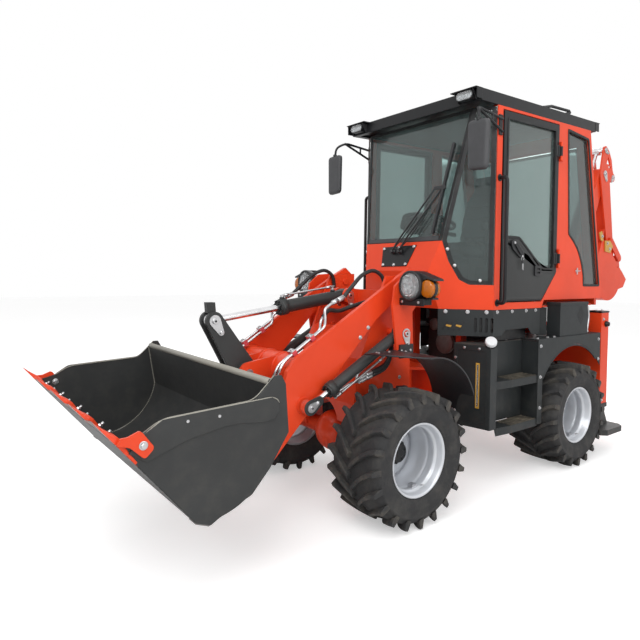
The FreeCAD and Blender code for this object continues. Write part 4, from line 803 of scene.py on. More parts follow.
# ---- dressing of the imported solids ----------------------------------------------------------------
@dataclass
class Dresser:
    """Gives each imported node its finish."""

    finishes: Finishes
    plan: dict[str, tuple[str, ...]] = field(default_factory=lambda: {
        "orange": ("rear_frame", "front_frame", "cab_floor", "cab_sides", "cab_rear", "loader_boom", "swing_post",
                   "backhoe_boom", "dipper", "backhoe_bucket", "bucket_teeth", "rocker", "bucket_link", "rear_axle",
                   "front_axle"),
        "graphite": ("side_tanks", "side_steps", "rear_fenders", "cab_skirts", "battery_box"),
        "charcoal": ("loader_bucket", "bellcrank", "tilt_link", "lift_barrels", "tilt_barrel", "boom_barrel",
                     "dipper_barrel", "curl_barrel", "engine_block", "leg_left", "leg_right"),
        "black": ("roof_frame", "mirrors", "roof_lamps", "door_left", "door_right"),
        "steel": ("bucket_pins", "bellcrank_pin", "link_pin"),
        "chrome": ("lift_rods", "tilt_rod", "boom_rod", "dipper_rod", "curl_rod"),
        "white": ("rim_front_left", "rim_front_right", "rim_rear_left", "rim_rear_right"),
        "tyre": ("tyre_front_left", "tyre_front_right", "tyre_rear_left", "tyre_rear_right"),
        "glass": ("cab_glass",),
        "clear_glass": ("door_glass_left", "door_glass_right"),
        "lens": ("headlamps",),
        "plastic": ("controls", "seat_pads", "front_fenders"),
    })

    def build(self) -> None:
        """Put the finish on every node's slots."""
        for key, nodes in self.plan.items():
            for node in nodes:
                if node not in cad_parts:
                    log.warning("no node %s", node)
                    continue
                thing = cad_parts[node]
                for slot in thing.material_slots:
                    slot.material = self.finishes[key]
                log.info("%s is dressed in %s", node, key)


# ---- wheels ---------------------------------------------------------------------------------------
@dataclass
class Wheels:
    """Four bar-lug tyres on deep silver rims with black hubs."""

    finishes: Finishes
    repeater: Repeater
    radius: float = 390.0
    half_width: float = 200.0
    tread: float = 362.0
    lugs: int = 20
    lug_width: float = 27.0
    lean: float = 128.0
    track: float = 1198.0
    axle_z: float = 390.0
    front_x: float = 1728.0

    def build(self) -> None:
        """Build each wheel on its own body."""
        for end, x in (("front", self.front_x), ("rear", 0.0)):
            for hand, side in (("left", 1), ("right", -1)):
                centre = at(x, side * self.track / 2, self.axle_z)
                self.tyre(f"{end}_{hand}", centre)
                self.rim(f"{end}_{hand}", centre, side)

    def lug(self, side: int) -> Form:
        """One bar of the tread at the top of the wheel, curved from the middle to the shoulder."""
        form = Form("lug")
        rings = []
        steps = 9
        for k in range(steps + 2):
            t = min(k / steps, 1.0)
            y = 5.0 + (self.half_width - 12.0) * t
            shift = self.lean * (0.5 - (1 - (1 - t) ** 1.55))
            top, base = self.radius - 1.0 - 7.0 * t ** 3, 338.0
            wide, foot = self.lug_width / 2, self.lug_width / 2 + 5.0 + 4.0 * t
            if k == steps + 1:
                y, top, base = self.half_width - 0.5, self.radius - 58.0, 322.0
                wide, foot = self.lug_width / 2 + 2.0, self.lug_width / 2 + 5.0
                shift -= 3.0
            ring = []
            for across, height in ((-foot, base), (-wide, top - 4.0), (3.0 - wide, top), (wide - 3.0, top),
                                   (wide, top - 4.0), (foot, base)):
                turn = (shift + across) / self.radius
                ring.append(Vector((height * math.sin(turn), side * y, height * math.cos(turn))) * MM)
            rings.append(ring)
        form._faces(rings, self.finishes["tread"], False, False)
        return form

    def tyre(self, name: str, centre: Vector) -> None:
        """Carcass with beads, wall rings and two rows of lugs."""
        rubber = self.finishes["tyre"]
        form = Form("lugged_tyre_" + name)
        half = [(201.5, 160.0), (214.5, 165.0), (217.0, 172.0), (224.0, 178.5), (229.0, 179.5), (233.0, 184.0),
                (262.0, 190.0), (292.0, 192.0), (309.0, 191.5), (312.0, 194.0), (322.0, 193.5), (326.0, 190.0),
                (344.0, 177.0), (354.0, 158.0), (360.0, 120.0), (361.5, 60.0)]
        profile = [(r * MM, -y * MM) for r, y in half] + [(self.tread * MM, 0.0)]
        profile += [(r * MM, y * MM) for r, y in reversed(half)]
        form.turned(centre, Vector((0, 1, 0)), profile, rubber, 96, closed=True)
        tread = self.finishes["tread"]
        for side, phase in ((-1, 0.0), (1, math.pi / self.lugs)):
            form.take(self.repeater.ring(self.lug(side), self.lugs, phase, centre, tread), tread)
        thing = form.done("wheel_" + name, join=False)
        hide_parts("tyre_" + name)

    def rim(self, name: str, centre: Vector, side: int) -> None:
        """Deep rim: rolled lip, stepped barrel, dished disc, black hub with its bolts."""
        silver, black, steel = (self.finishes[key] for key in ("white", "black", "steel"))
        form = Form("dished_rim_" + name)
        out = Vector((0, side, 0))
        face = [(200.0, 163.5), (211.0, 164.5), (212.0, 168.0), (210.5, 171.0), (206.0, 171.0), (200.0, 168.0),
                (195.0, 160.0), (192.5, 128.0), (190.0, 124.0), (181.0, 117.0), (178.5, 112.0), (179.0, 84.0),
                (183.0, 78.0), (184.0, 66.0), (181.0, 60.0), (178.0, 54.0), (177.0, -60.0), (179.0, -100.0),
                (192.0, -130.0), (194.0, -160.0), (211.0, -168.0), (212.0, -164.5), (200.0, -163.5)]
        form.turned(centre, out, [(r * MM, y * MM) for r, y in face], silver, 96, closed=True)
        disc = [(178.0, -92.0), (178.0, -80.0), (160.0, -77.0), (128.0, -66.0), (98.0, -66.0), (92.0, -60.0),
                (70.0, -60.0), (70.0, -72.0), (98.0, -78.0), (128.0, -80.0), (160.0, -90.0)]
        form.turned(centre, out, [(r * MM, y * MM) for r, y in disc], silver, 72, closed=True)
        hub = [(0.0, -79.0), (70.0, -79.0), (71.5, -54.0), (71.5, -20.0), (66.0, -16.0), (58.0, -14.0), (57.0, 6.0),
               (52.0, 11.0), (26.0, 13.0), (24.0, 15.0), (0.0, 15.0)]
        form.turned(centre, out, [(r * MM, y * MM) for r, y in hub], black, 48, False)
        studs = [(centre + Vector((r * math.sin(a), side * y * MM, r * math.cos(a))), out)
                 for r, y, count, lift in ((0.083, -60.0, 8, 0.2), (0.0645, -16.0, 8, 0.0), (0.04, 11.5, 4, 0.4))
                 for a in (lift + 2 * math.pi * k / count for k in range(count))]
        form.take(self.repeater.spread(hex_head("wheel_nut", 8.0, 11.0), studs[:8], steel), steel)
        form.take(self.repeater.spread(hex_head("hub_bolt", 5.5, 5.0), studs[8:], black), black)
        valve = centre + Vector((-0.06, side * 0.125, -0.166))
        form.rod(valve, valve + Vector((0.012, side * 0.03, 0.012)), 0.0045, steel, 12)
        form.block(centre + Vector((-0.045, side * 0.085 - 0.018, -0.178)),
                   centre + Vector((-0.012, side * 0.085 + 0.018, -0.162)), steel)
        thing = form.done("wheel_" + name, join=False)
        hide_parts("rim_" + name)


# ---- shared ways of the sub-assemblies ------------------------------------------------------------
class Slot(Enum):
    """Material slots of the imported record."""

    ORANGE = "orange_paint"
    CHARCOAL = "charcoal_paint"
    BLACK = "black_paint"
    STEEL = "steel"
    LENS = "lens"
    PLASTIC = "plastic"
    SEAT = "seat"


class Head(Enum):
    """Sizes of fastener heads: radius and height in millimetres."""

    SCREW = (6.5, 3.5)
    BOLT = (9.0, 7.0)
    NUT = (12.0, 9.0)
    SOCKET = (5.5, 9.0)


OUT_LEFT = Vector((0, 1, 0))
OUT_RIGHT = Vector((0, -1, 0))
FORWARD = Vector((1, 0, 0))
UPWARD = Vector((0, 0, 1))
OUTWARD = ((1, OUT_LEFT), (-1, OUT_RIGHT))


def inset(outline: Sequence[Flat], distance: float) -> list[Flat]:
    """Flat outline moved inwards by a distance, corner by corner."""
    count = len(outline)
    area = sum(outline[k - 1][0] * outline[k][1] - outline[k][0] * outline[k - 1][1] for k in range(count))
    sign = 1.0 if area > 0 else -1.0
    made = []
    for k in range(count):
        spot = Vector(outline[k])
        first = (spot - Vector(outline[k - 1])).normalized()
        second = (Vector(outline[(k + 1) % count]) - spot).normalized()
        lean = (Vector((-first.y, first.x)) + Vector((-second.y, second.x))) * sign
        half = max(lean.length / 2, 0.4)
        made.append(tuple(spot + lean.normalized() * distance / half))
    return made


def soft_corners(outline: Sequence[Flat], bend: float) -> list[Flat]:
    """Flat closed outline with rounded corners."""
    route = rounded([Vector((x, z, 0)) for x, z in outline], bend, closed=True)
    return [(p.x, p.y) for p in route]


def capsule(centre: Flat, half: float, radius: float, steps: int = 12) -> list[Flat]:
    """Outline of a level slot with round ends."""
    made = []
    for side, start in ((1, -math.pi / 2), (-1, math.pi / 2)):
        for k in range(steps + 1):
            a = start + math.pi * k / steps
            made.append((centre[0] + side * half + radius * math.cos(a), centre[1] + radius * math.sin(a)))
    return made


def teardrop(big: Flat, wide: float, small: Flat, narrow: float, steps: int = 14) -> list[Flat]:
    """Outline of a keeper plate: a large and a small round joined by straight flanks."""
    aim = math.atan2(small[1] - big[1], small[0] - big[0])
    gap = math.hypot(small[0] - big[0], small[1] - big[1])
    lean = math.acos(max(-1.0, min(1.0, (wide - narrow) / gap)))
    made = []
    for centre, radius, start, sweep in ((big, wide, aim + lean, 2 * math.pi - 2 * lean),
                                         (small, narrow, aim - lean, 2 * lean)):
        for k in range(steps + 1):
            a = start + sweep * k / steps
            made.append((centre[0] + radius * math.cos(a), centre[1] + radius * math.sin(a)))
    return made


@dataclass
class Group:
    """What each sub-assembly has: the finishes, the repeater and short ways to end a piece."""

    finishes: Finishes
    repeater: Repeater

    def end(self, form: Form, body: str, slot: Slot, bevel: float = 0.0, join: bool = True) -> bpy.types.Object:
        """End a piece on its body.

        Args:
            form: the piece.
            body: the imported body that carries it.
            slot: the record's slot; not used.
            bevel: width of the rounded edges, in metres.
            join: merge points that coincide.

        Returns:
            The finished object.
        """
        thing = form.done(body, bevel, join=join)
        return thing

    def heads(self, form: Form, head: Head, spots: Iterable[tuple[Vector, Vector]], key: str = "steel") -> Form:
        """Set fastener heads on a piece.

        Args:
            form: the piece that takes them.
            head: their size.
            spots: for each its place and the way it faces.
            key: name of their finish.

        Returns:
            The same piece.
        """
        shade = self.finishes[key]
        return form.take(self.repeater.spread(hex_head("head_" + form.name, *head.value), list(spots), shade), shade)

    def keeper(self, form: Form, big: Flat, small: Flat, y: float, side: int = 1, wide: float = 31.0) -> Form:
        """Plated keeper that holds a pin: teardrop plate, the pin's end and one bolt.

        Args:
            form: the piece that takes it.
            big: the pin's place in side view.
            small: the bolt's place in side view.
            y: face that the keeper lies on.
            side: 1 where it faces left, -1 where it faces right.
            wide: radius of its large end.

        Returns:
            The same piece.
        """
        steel = self.finishes["steel"]
        form.plate(teardrop(big, wide, small, wide * 0.5), (y, y + side * 6), steel)
        form.boss(big, (y, y + side * 14), wide * 0.5, steel, 28)
        form.boss(big, (y + side * 13, y + side * 15), wide * 0.2, self.finishes["black"], 16, 0.4)
        way = OUT_LEFT * side
        return self.heads(form, Head.BOLT, [(at(small[0], y + side * 6, small[1]), way)])

    def clamp(self, form: Form, spot: Vector, along: Vector, up: Vector, size: float = 22.0) -> Form:
        """Plastic pipe clamp on its small foot with a bolt.

        Args:
            form: the piece that takes it.
            spot: centre of the pipe.
            along: the pipe's direction.
            up: the way that the bolt faces.
            size: half width in millimetres.

        Returns:
            The same piece.
        """
        axis = along.normalized()
        lift = (up - axis * up.dot(axis)).normalized()
        side = axis.cross(lift)
        h = size * MM
        ring = soft_corners([(-h, -h * 0.75), (h, -h * 0.75), (h, h * 0.75), (-h, h * 0.75)], 0.005)
        start = spot - axis * h * 0.6
        form.prism([start + side * a + lift * b for a, b in ring], axis * h * 1.2, self.finishes["red_plastic"])
        cap = [(-h, h * 0.75), (h, h * 0.75), (h, h * 0.9), (-h, h * 0.9)]
        form.prism([start + side * a + lift * b for a, b in cap], axis * h * 1.2, self.finishes["steel"])
        return self.heads(form, Head.BOLT, [(spot + lift * h * 0.9, lift)])


def band(form: Form, outer: Sequence[Vector], inner: Sequence[Vector], push: Vector,
         finish: bpy.types.Material) -> Form:
    """Closed frame between two loops of points, with a thickness.

    Args:
        form: the piece that takes it.
        outer: the outside loop.
        inner: the inside loop, point for point.
        push: thickness as a vector.
        finish: material of the frame.

    Returns:
        The same piece.
    """
    rings = [list(outer), list(inner), [p + push for p in inner], [p + push for p in outer]]
    form._faces(rings, finish, True, False)
    return form


# ---- cab ------------------------------------------------------------------------------------------
@dataclass
class Cab(Group):
    """Seals, wipers, lamps, mirrors and fittings of the cab's shell."""

    wall: float = 645.0
    post_x: float = 905.0
    screen_low: tuple[float, float, float] = (1142.0, 378.0, 1666.0)
    screen_top: tuple[float, float, float] = (996.0, 512.0, 2556.0)
    cowl_mid: tuple[float, float, float] = (1200.0, 319.0, 1461.0)
    cowl_base: tuple[float, float, float] = (1150.0, 373.0, 1205.0)
    quarter: tuple[Flat, ...] = ((636.0, 1376.0), (522.0, 1376.0), (473.0, 1409.0), (420.0, 1532.0), (384.0, 1668.0),
                                 (511.0, 2549.0), (636.0, 2556.0))
    side_glass: tuple[Flat, ...] = ((26.0, 2560.0), (-295.0, 2535.0), (-530.0, 1362.0), (-262.0, 1362.0),
                                    (-256.0, 1450.0), (-221.0, 1550.0), (-162.0, 1646.0), (-95.0, 1710.0),
                                    (-18.0, 1761.0))
    roof_z: float = 2559.5
    roof_rake: float = 0.033
    roof_front: float = 1080.0

    def build(self) -> None:
        """Build everything on the cab's shell."""
        self.seals()
        self.wipers()
        self.lamps()
        self.mirrors()
        self.grab_bars()
        self.roof_trim()
        self.rear_window()

    def edge(self, z: float) -> tuple[float, float]:
        """Where the cowl's corner, or the screen's, stands at a height."""
        levels = (self.cowl_base, self.cowl_mid, self.screen_low, self.screen_top)
        for low, high in zip(levels, levels[1:]):
            if z <= high[2] or high is levels[-1]:
                t = (z - low[2]) / (high[2] - low[2])
                return low[0] + t * (high[0] - low[0]), low[1] + t * (high[1] - low[1])
        return levels[-1][0], levels[-1][1]

    def on_quarter(self, y: float, z: float, proud: float = 0.0) -> Vector:
        """Point on the slanting side panel or quarter light."""
        x_edge, y_edge = self.edge(z)
        run_x, run_y = x_edge - self.post_x, self.wall - y_edge
        x = self.post_x + (self.wall - y) / run_y * run_x
        size = math.hypot(run_x, run_y)
        return at(x + proud * run_y / size, y + proud * run_x / size, z)

    def on_screen(self, y: float, z: float, proud: float = 0.0) -> Vector:
        """Point on the flat front of the cowl or the screen."""
        return at(self.edge(z)[0] + proud, y, z)

    def seals(self) -> None:
        """Black borders of the front screen, the quarter lights and the side lights, and the bolts on the quarters."""
        seal, steel = self.finishes["seal"], self.finishes["steel"]
        form = Form("cab_window_seals")
        corners = [(-378.0, 1667.0), (378.0, 1667.0), (512.0, 2552.0), (-512.0, 2552.0)]
        inner = inset(corners, 20.0)
        band(form, [self.on_screen(y, z, -3) for y, z in corners], [self.on_screen(y, z, -3) for y, z in inner],
             Vector((3.5 * MM, 0, 0)), seal)
        for side in SIDES:
            flip = Vector((1, side, 1))
            light = soft_corners(self.quarter, 14.0)
            inside = inset(light, 22.0)
            band(form, [self.on_quarter(y, z, -3) * flip for y, z in light],
                 [self.on_quarter(y, z, -3) * flip for y, z in inside], Vector((2.5, side * 2.5, 0)) * MM, seal)
            outline = soft_corners(self.side_glass, 25.0)
            rim, lip = inset(outline, -2.0), inset(outline, 15.0)
            band(form, [at(x, side * 642, z) for x, z in rim], [at(x, side * 642, z) for x, z in lip],
                 Vector((0, side * 6 * MM, 0)), seal)
        self.end(form, "rear_machine", Slot.PLASTIC)
        dots = Form("quarter_light_bolts")
        for side in SIDES:
            flip = Vector((1, side, 1))
            for y, z in ((575.0, 1400.0), (450.0, 1500.0), (412.0, 1610.0)):
                start = self.on_quarter(y, z, 0) * flip
                way = (self.on_quarter(y, z, 10) * flip - start).normalized()
                dots.turned(start - way * 0.001, way, [(0.012, 0), (0.012, 0.003), (0.009, 0.006), (0.004, 0.0068)],
                            steel, 20)
        self.end(dots, "rear_machine", Slot.STEEL)
        self.band_strip()

    def band_strip(self) -> None:
        """Grey sun strip along the screen's foot."""
        form = Form("screen_foot_strip")
        low = [(-352.0, 1672.0), (352.0, 1672.0), (356.0, 1700.0), (-356.0, 1700.0)]
        form.prism([self.on_screen(y, z, 0.5) for y, z in low], Vector((2 * MM, 0, 0)), self.finishes["grey_plastic"])
        self.end(form, "rear_machine", Slot.PLASTIC)

    def wipers(self) -> None:
        """Plate on the cowl, the two linked arms and the long blade."""
        black, plastic = self.finishes["black"], self.finishes["plastic"]
        form = Form("wiper_plate")
        plate = [(-178.0, 1636.0), (164.0, 1644.0), (106.0, 1494.0), (-150.0, 1490.0)]
        form.prism([self.on_screen(y, z, 0.2) for y, z in plate], Vector((5 * MM, 0, 0)), black)
        self.end(form, "rear_machine", Slot.BLACK, 0.0015)
        screws = Form("wiper_plate_screws")
        spots = [(-160.0, 1622.0), (-5.0, 1628.0), (143.0, 1632.0), (-136.0, 1504.0), (-22.0, 1503.0), (94.0, 1507.0)]
        self.heads(screws, Head.BOLT, [(self.on_screen(y, z, 5), FORWARD) for y, z in spots])
        self.end(screws, "rear_machine", Slot.STEEL, join=False)
        arms = Form("wiper_arms")
        for y in (-46.0, 22.0):
            start = self.on_screen(y, 1600.0, 5)
            arms.turned(start, FORWARD, [(0.02, 0), (0.02, 0.012), (0.013, 0.02), (0.013, 0.034), (0.008, 0.038)],
                        plastic, 24, False)
            arms.tube([start + Vector((0.03, 0, 0)), self.on_screen(y + 60, 1690.0, 40),
                       self.on_screen(y + 330, 2030.0, 26)], 0.0065, plastic, 0.05, 10)
            arms.tube([start + Vector((0.03, 0.006, 0.012)), self.on_screen(y + 84, 1680.0, 42),
                       self.on_screen(y + 210, 1840.0, 34)], 0.004, plastic, 0.05, 8)
        low, high = self.on_screen(318.0, 1712.0, 22), self.on_screen(408.0, 2330.0, 20)
        run = (high - low).normalized()
        across = run.cross(FORWARD).normalized()
        deep = across.cross(run)
        ring = [low + across * a + deep * b for a, b in ((-0.006, 0.0), (0.006, 0.0), (0.009, 0.016), (-0.009, 0.016))]
        arms.prism(ring, high - low, plastic)
        ring = [low + across * a + deep * b for a, b in ((-0.002, -0.014), (0.002, -0.014), (0.004, 0.0),
                                                         (-0.004, 0.0))]
        arms.prism(ring, high - low, self.finishes["hose"])
        arms.block(self.on_screen(284.0, 2018.0, 22), self.on_screen(386.0, 2042.0, 40), plastic)
        self.end(arms, "rear_machine", Slot.PLASTIC, 0.0012)

    def lamps(self) -> None:
        """Oval work lamps with their clear faces, and the flaps that hold them."""
        plastic, led, lens = (self.finishes[key] for key in ("plastic", "led", "lens"))
        form, faces, glass = Form("work_lamp_bezels"), Form("work_lamp_reflectors"), Form("work_lamp_lenses")
        for x, run in ((self.roof_front, 1), (-400.0, -1)):
            face_x = x + run * 48
            z = self.roof_z + (self.roof_front - face_x) * self.roof_rake + 41
            for y in (-541.0, 541.0):
                outer, inner = capsule((y, z), 38, 31), capsule((y, z), 37, 25)
                far = run * 7 * MM
                band(form, [at(face_x - run, a, b) for a, b in outer], [at(face_x - run, a, b) for a, b in inner],
                     Vector((far, 0, 0)), plastic)
                faces.prism([at(face_x + run * 0.4, a, b) for a, b in inner], Vector((run * 1.2 * MM, 0, 0)), led)
                glass.prism([at(face_x + run * 4, a, b) for a, b in inner], Vector((run * 2.4 * MM, 0, 0)), lens)
                for k in (-1, 1):
                    form.plate([(x - run * 2, z + 30), (x + run * 60, z + 30), (x + run * 56, z + 18),
                                (x + run * 20, z - 34), (x - run * 2, z - 34)],
                               (y + k * 74 - 2, y + k * 74 + 2), plastic)
        self.end(form, "rear_machine", Slot.PLASTIC, 0.001)
        self.end(faces, "rear_machine", Slot.LENS)
        self.end(glass, "rear_machine", Slot.LENS)

    def mirrors(self) -> None:
        """Door mirrors: twin tube arms with a strut, and a rounded housing with its glass."""
        plastic, black = self.finishes["grey_plastic"], self.finishes["black"]
        form = Form("door_mirrors")
        arm = [at(866, 655, 2475), at(1140, 662, 2500), at(1199, 714, 2462), at(1204, 720, 2385)]
        brace = [at(866, 655, 2392), at(1150, 664, 2496)]
        outline = soft_corners([(647.0, 2092.0), (790.0, 2083.0), (798.0, 2394.0), (642.0, 2398.0)], 34.0)
        for side in SIDES:
            flip = Vector((1, side, 1))
            form.tube(over(arm, flip), 0.009, black, 0.05)
            form.tube(over(brace, flip), 0.009, black)
            form.tube([at(985, side * 659, 2433), at(985, side * 659, 2488)], 0.007, black)
            form.block(at(864, side * 645.4, 2368), at(900, side * 655, 2502), black)
            rings = []
            for x, shrink in ((1188.0, 5.0), (1190.0, 0.0), (1207.0, 0.0), (1215.0, 4.0), (1220.0, 12.0),
                              (1222.0, 24.0)):
                rings.append([at(x, side * y, z) for y, z in inset(outline, shrink)])
            form._faces(rings, plastic, False, False)
            form.prism([at(1186.5, side * y, z) for y, z in inset(outline, 9.0)], Vector((1.6 * MM, 0, 0)),
                       self.finishes["mirror"])
            form.turned(at(1204, side * 720, 2386), UPWARD, [(0.016, 0), (0.016, 0.018), (0.011, 0.024)], black, 20)
        thing = self.end(form, "rear_machine", Slot.BLACK, 0.0015)
        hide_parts("mirrors")

    def grab_bars(self) -> None:
        """Tube grab bars beside the doors, and the latch of the rear side light."""
        form = Form("door_grab_bars")
        black = self.finishes["black"]
        for side in SIDES:
            route = [at(873, side * 640, 2088), at(873, side * 706, 2088), at(873, side * 706, 1252),
                     at(873, side * 640, 1252)]
            form.tube(route, 0.0125, black, 0.045, 16)
            for z in (2088.0, 1252.0):
                form.boss((873.0, z), (side * 644.5, side * 651), 24, black, 24)
        self.end(form, "rear_machine", Slot.BLACK)
        latch = Form("side_light_latches")
        steel = self.finishes["steel"]
        for side in SIDES:
            latch.boss((-152.0, 1481.0), (side * 645, side * 652), 13, steel, 24)
            latch.plate([(-158, 1455), (-146, 1455), (-146, 1507), (-158, 1507)], (side * 652, side * 657), steel)
            latch.rod(at(-152, side * 656, 1481), at(-196, side * 656, 1484), 0.004, steel, 10)
        self.end(latch, "rear_machine", Slot.STEEL, 0.0012)

    def roof_trim(self) -> None:
        """Pressed ribs of the roof sheet."""
        form = Form("roof_ribs")
        black = self.finishes["black"]
        for y in (-420.0, -210.0, 0.0, 210.0, 420.0):
            x0, x1 = -340.0, 1020.0
            z0 = self.roof_z + (self.roof_front - x0) * self.roof_rake + 19.6
            z1 = self.roof_z + (self.roof_front - x1) * self.roof_rake + 19.6
            form.prism([at(x0, y - 30, z0), at(x0, y - 18, z0 + 9), at(x0, y + 18, z0 + 9), at(x0, y + 30, z0)],
                       at(x1, y, z1) - at(x0, y, z0), black)
        self.end(form, "rear_machine", Slot.BLACK, 0.002)

    def rear_window(self) -> None:
        """Seal of the rear window."""
        form = Form("rear_window_seal")
        low, high = Vector((-565.0, 1282.0)), Vector((-320.0, 2605.0))
        run = (high - low).normalized()
        out = Vector((-run.y, run.x))

        def spot(y: float, far: float) -> Vector:
            place = low + run * far + out * 9.0
            return at(place.x, y, place.y)

        corners = [(-530.0, 238.0), (530.0, 238.0), (530.0, 1220.0), (-530.0, 1220.0)]
        outer, inner = soft_corners(inset(corners, -6.0), 40.0), soft_corners(inset(corners, 20.0), 24.0)
        push = Vector((out.x, 0, out.y)) * 8 * MM
        band(form, [spot(y, far) for y, far in outer], [spot(y, far) for y, far in inner], -push * 1.6,
             self.finishes["seal"])
        self.end(form, "rear_machine", Slot.PLASTIC)


@dataclass
class Doors(Group):
    """Dark door leaves: window seal, lower panel, lock with keys, pull cup and hinge leaves."""

    face: float = 651.0
    window: tuple[Flat, ...] = ((798.0, 1700.0), (798.0, 2499.0), (197.0, 2519.0), (197.0, 1490.0), (340.0, 1490.0),
                                (640.0, 1700.0))
    panel: tuple[Flat, ...] = ((830.0, 1270.0), (830.0, 1686.0), (648.0, 1686.0), (348.0, 1476.0), (178.0, 1476.0),
                               (165.0, 1466.0), (348.0, 1270.0))

    def build(self) -> None:
        """Build the trim of both doors."""
        for name, side in (("door_left", 1), ("door_right", -1)):
            self.leaf(name, side)
            self.lock(name, side)

    def leaf(self, name: str, side: int) -> None:
        """Seal round the glass and the folded panel below it."""
        seal, charcoal, plastic = (self.finishes[key] for key in ("seal", "charcoal", "plastic"))
        form = Form(name + "_seal")
        outline = soft_corners(self.window, 22.0)
        outer, inner = inset(outline, -5.0), inset(outline, 9.0)
        band(form, [at(x, side * 634, z) for x, z in outer], [at(x, side * 634, z) for x, z in inner],
             Vector((0, side * 20 * MM, 0)), seal)
        self.end(form, name, Slot.PLASTIC)
        panel = Form(name + "_panel")
        sheet = soft_corners(self.panel, 9.0)
        rings = [[at(x, side * y, z) for x, z in inset(sheet, shrink)]
                 for y, shrink in ((650.6, 0.0), (652.6, 0.0), (654.2, 3.0), (654.2, 12.0), (652.8, 16.0))]
        panel._faces(rings, charcoal, False, False)
        self.end(panel, name, Slot.CHARCOAL)
        leaves = Form(name + "_hinge_leaves")
        for z in (1570.0, 2370.0):
            leaves.plate(soft_corners([(150, z - 46), (196, z - 40), (196, z + 40), (150, z + 46)], 8.0),
                         (side * 650.8, side * 658), plastic)
        self.end(leaves, name, Slot.BLACK, 0.0015)

    def lock(self, name: str, side: int) -> None:
        """Paddle lock with its barrel and keys, and the square pull cup."""
        plastic, steel, black = (self.finishes[key] for key in ("plastic", "steel", "black"))
        y = self.face + 2.6
        form = Form(name + "_lock")
        body = soft_corners([(752, 1672), (700, 1690), (600, 1602), (598, 1566), (640, 1560), (738, 1622)], 14.0)
        form.plate(body, (side * y, side * (y + 14)), plastic)
        paddle = soft_corners([(722, 1652), (690, 1662), (622, 1600), (622, 1582), (650, 1580)], 8.0)
        form.plate(paddle, (side * (y + 14), side * (y + 22)), black)
        cup = [(452, 1512), (372, 1512), (372, 1438), (452, 1438)]
        band(form, [at(a, side * y, b) for a, b in soft_corners(cup, 10.0)],
             [at(a, side * y, b) for a, b in soft_corners(inset(cup, 17.0), 4.0)], Vector((0, side * 11 * MM, 0)),
             plastic)
        form.plate(inset(cup, 14.0), (side * (y - 1.0), side * (y + 2)), self.finishes["seal"])
        form.plate([(431, 1468), (393, 1468), (393, 1482), (431, 1482)], (side * (y + 2), side * (y + 10)), plastic)
        self.end(form, name, Slot.PLASTIC, 0.002)
        keys = Form(name + "_keys")
        keys.boss((716.0, 1662.0), (side * (y + 13), side * (y + 20)), 9.5, steel, 24)
        keys.boss((622.0, 1573.0), (side * (y + 13), side * (y + 19)), 8.5, steel, 24)
        ring = [at(622 + 15 * math.sin(a), side * (y + 17), 1556 + 15 * math.cos(a))
                for a in (2 * math.pi * k / 18 for k in range(18))]
        keys.tube(ring, 0.0013, steel, 0.002, 6, closed=True)
        keys.plate(soft_corners([(628, 1548), (611, 1548), (609, 1522), (630, 1522)], 5.0),
                   (side * (y + 15), side * (y + 19)), plastic)
        for x, low in ((624.0, 1486.0), (614.0, 1480.0)):
            keys.plate([(x - 3, 1523), (x + 3, 1523), (x + 3, low), (x, low - 5), (x - 3, low)],
                       (side * (y + 16), side * (y + 18)), steel)
        self.end(keys, name, Slot.STEEL)


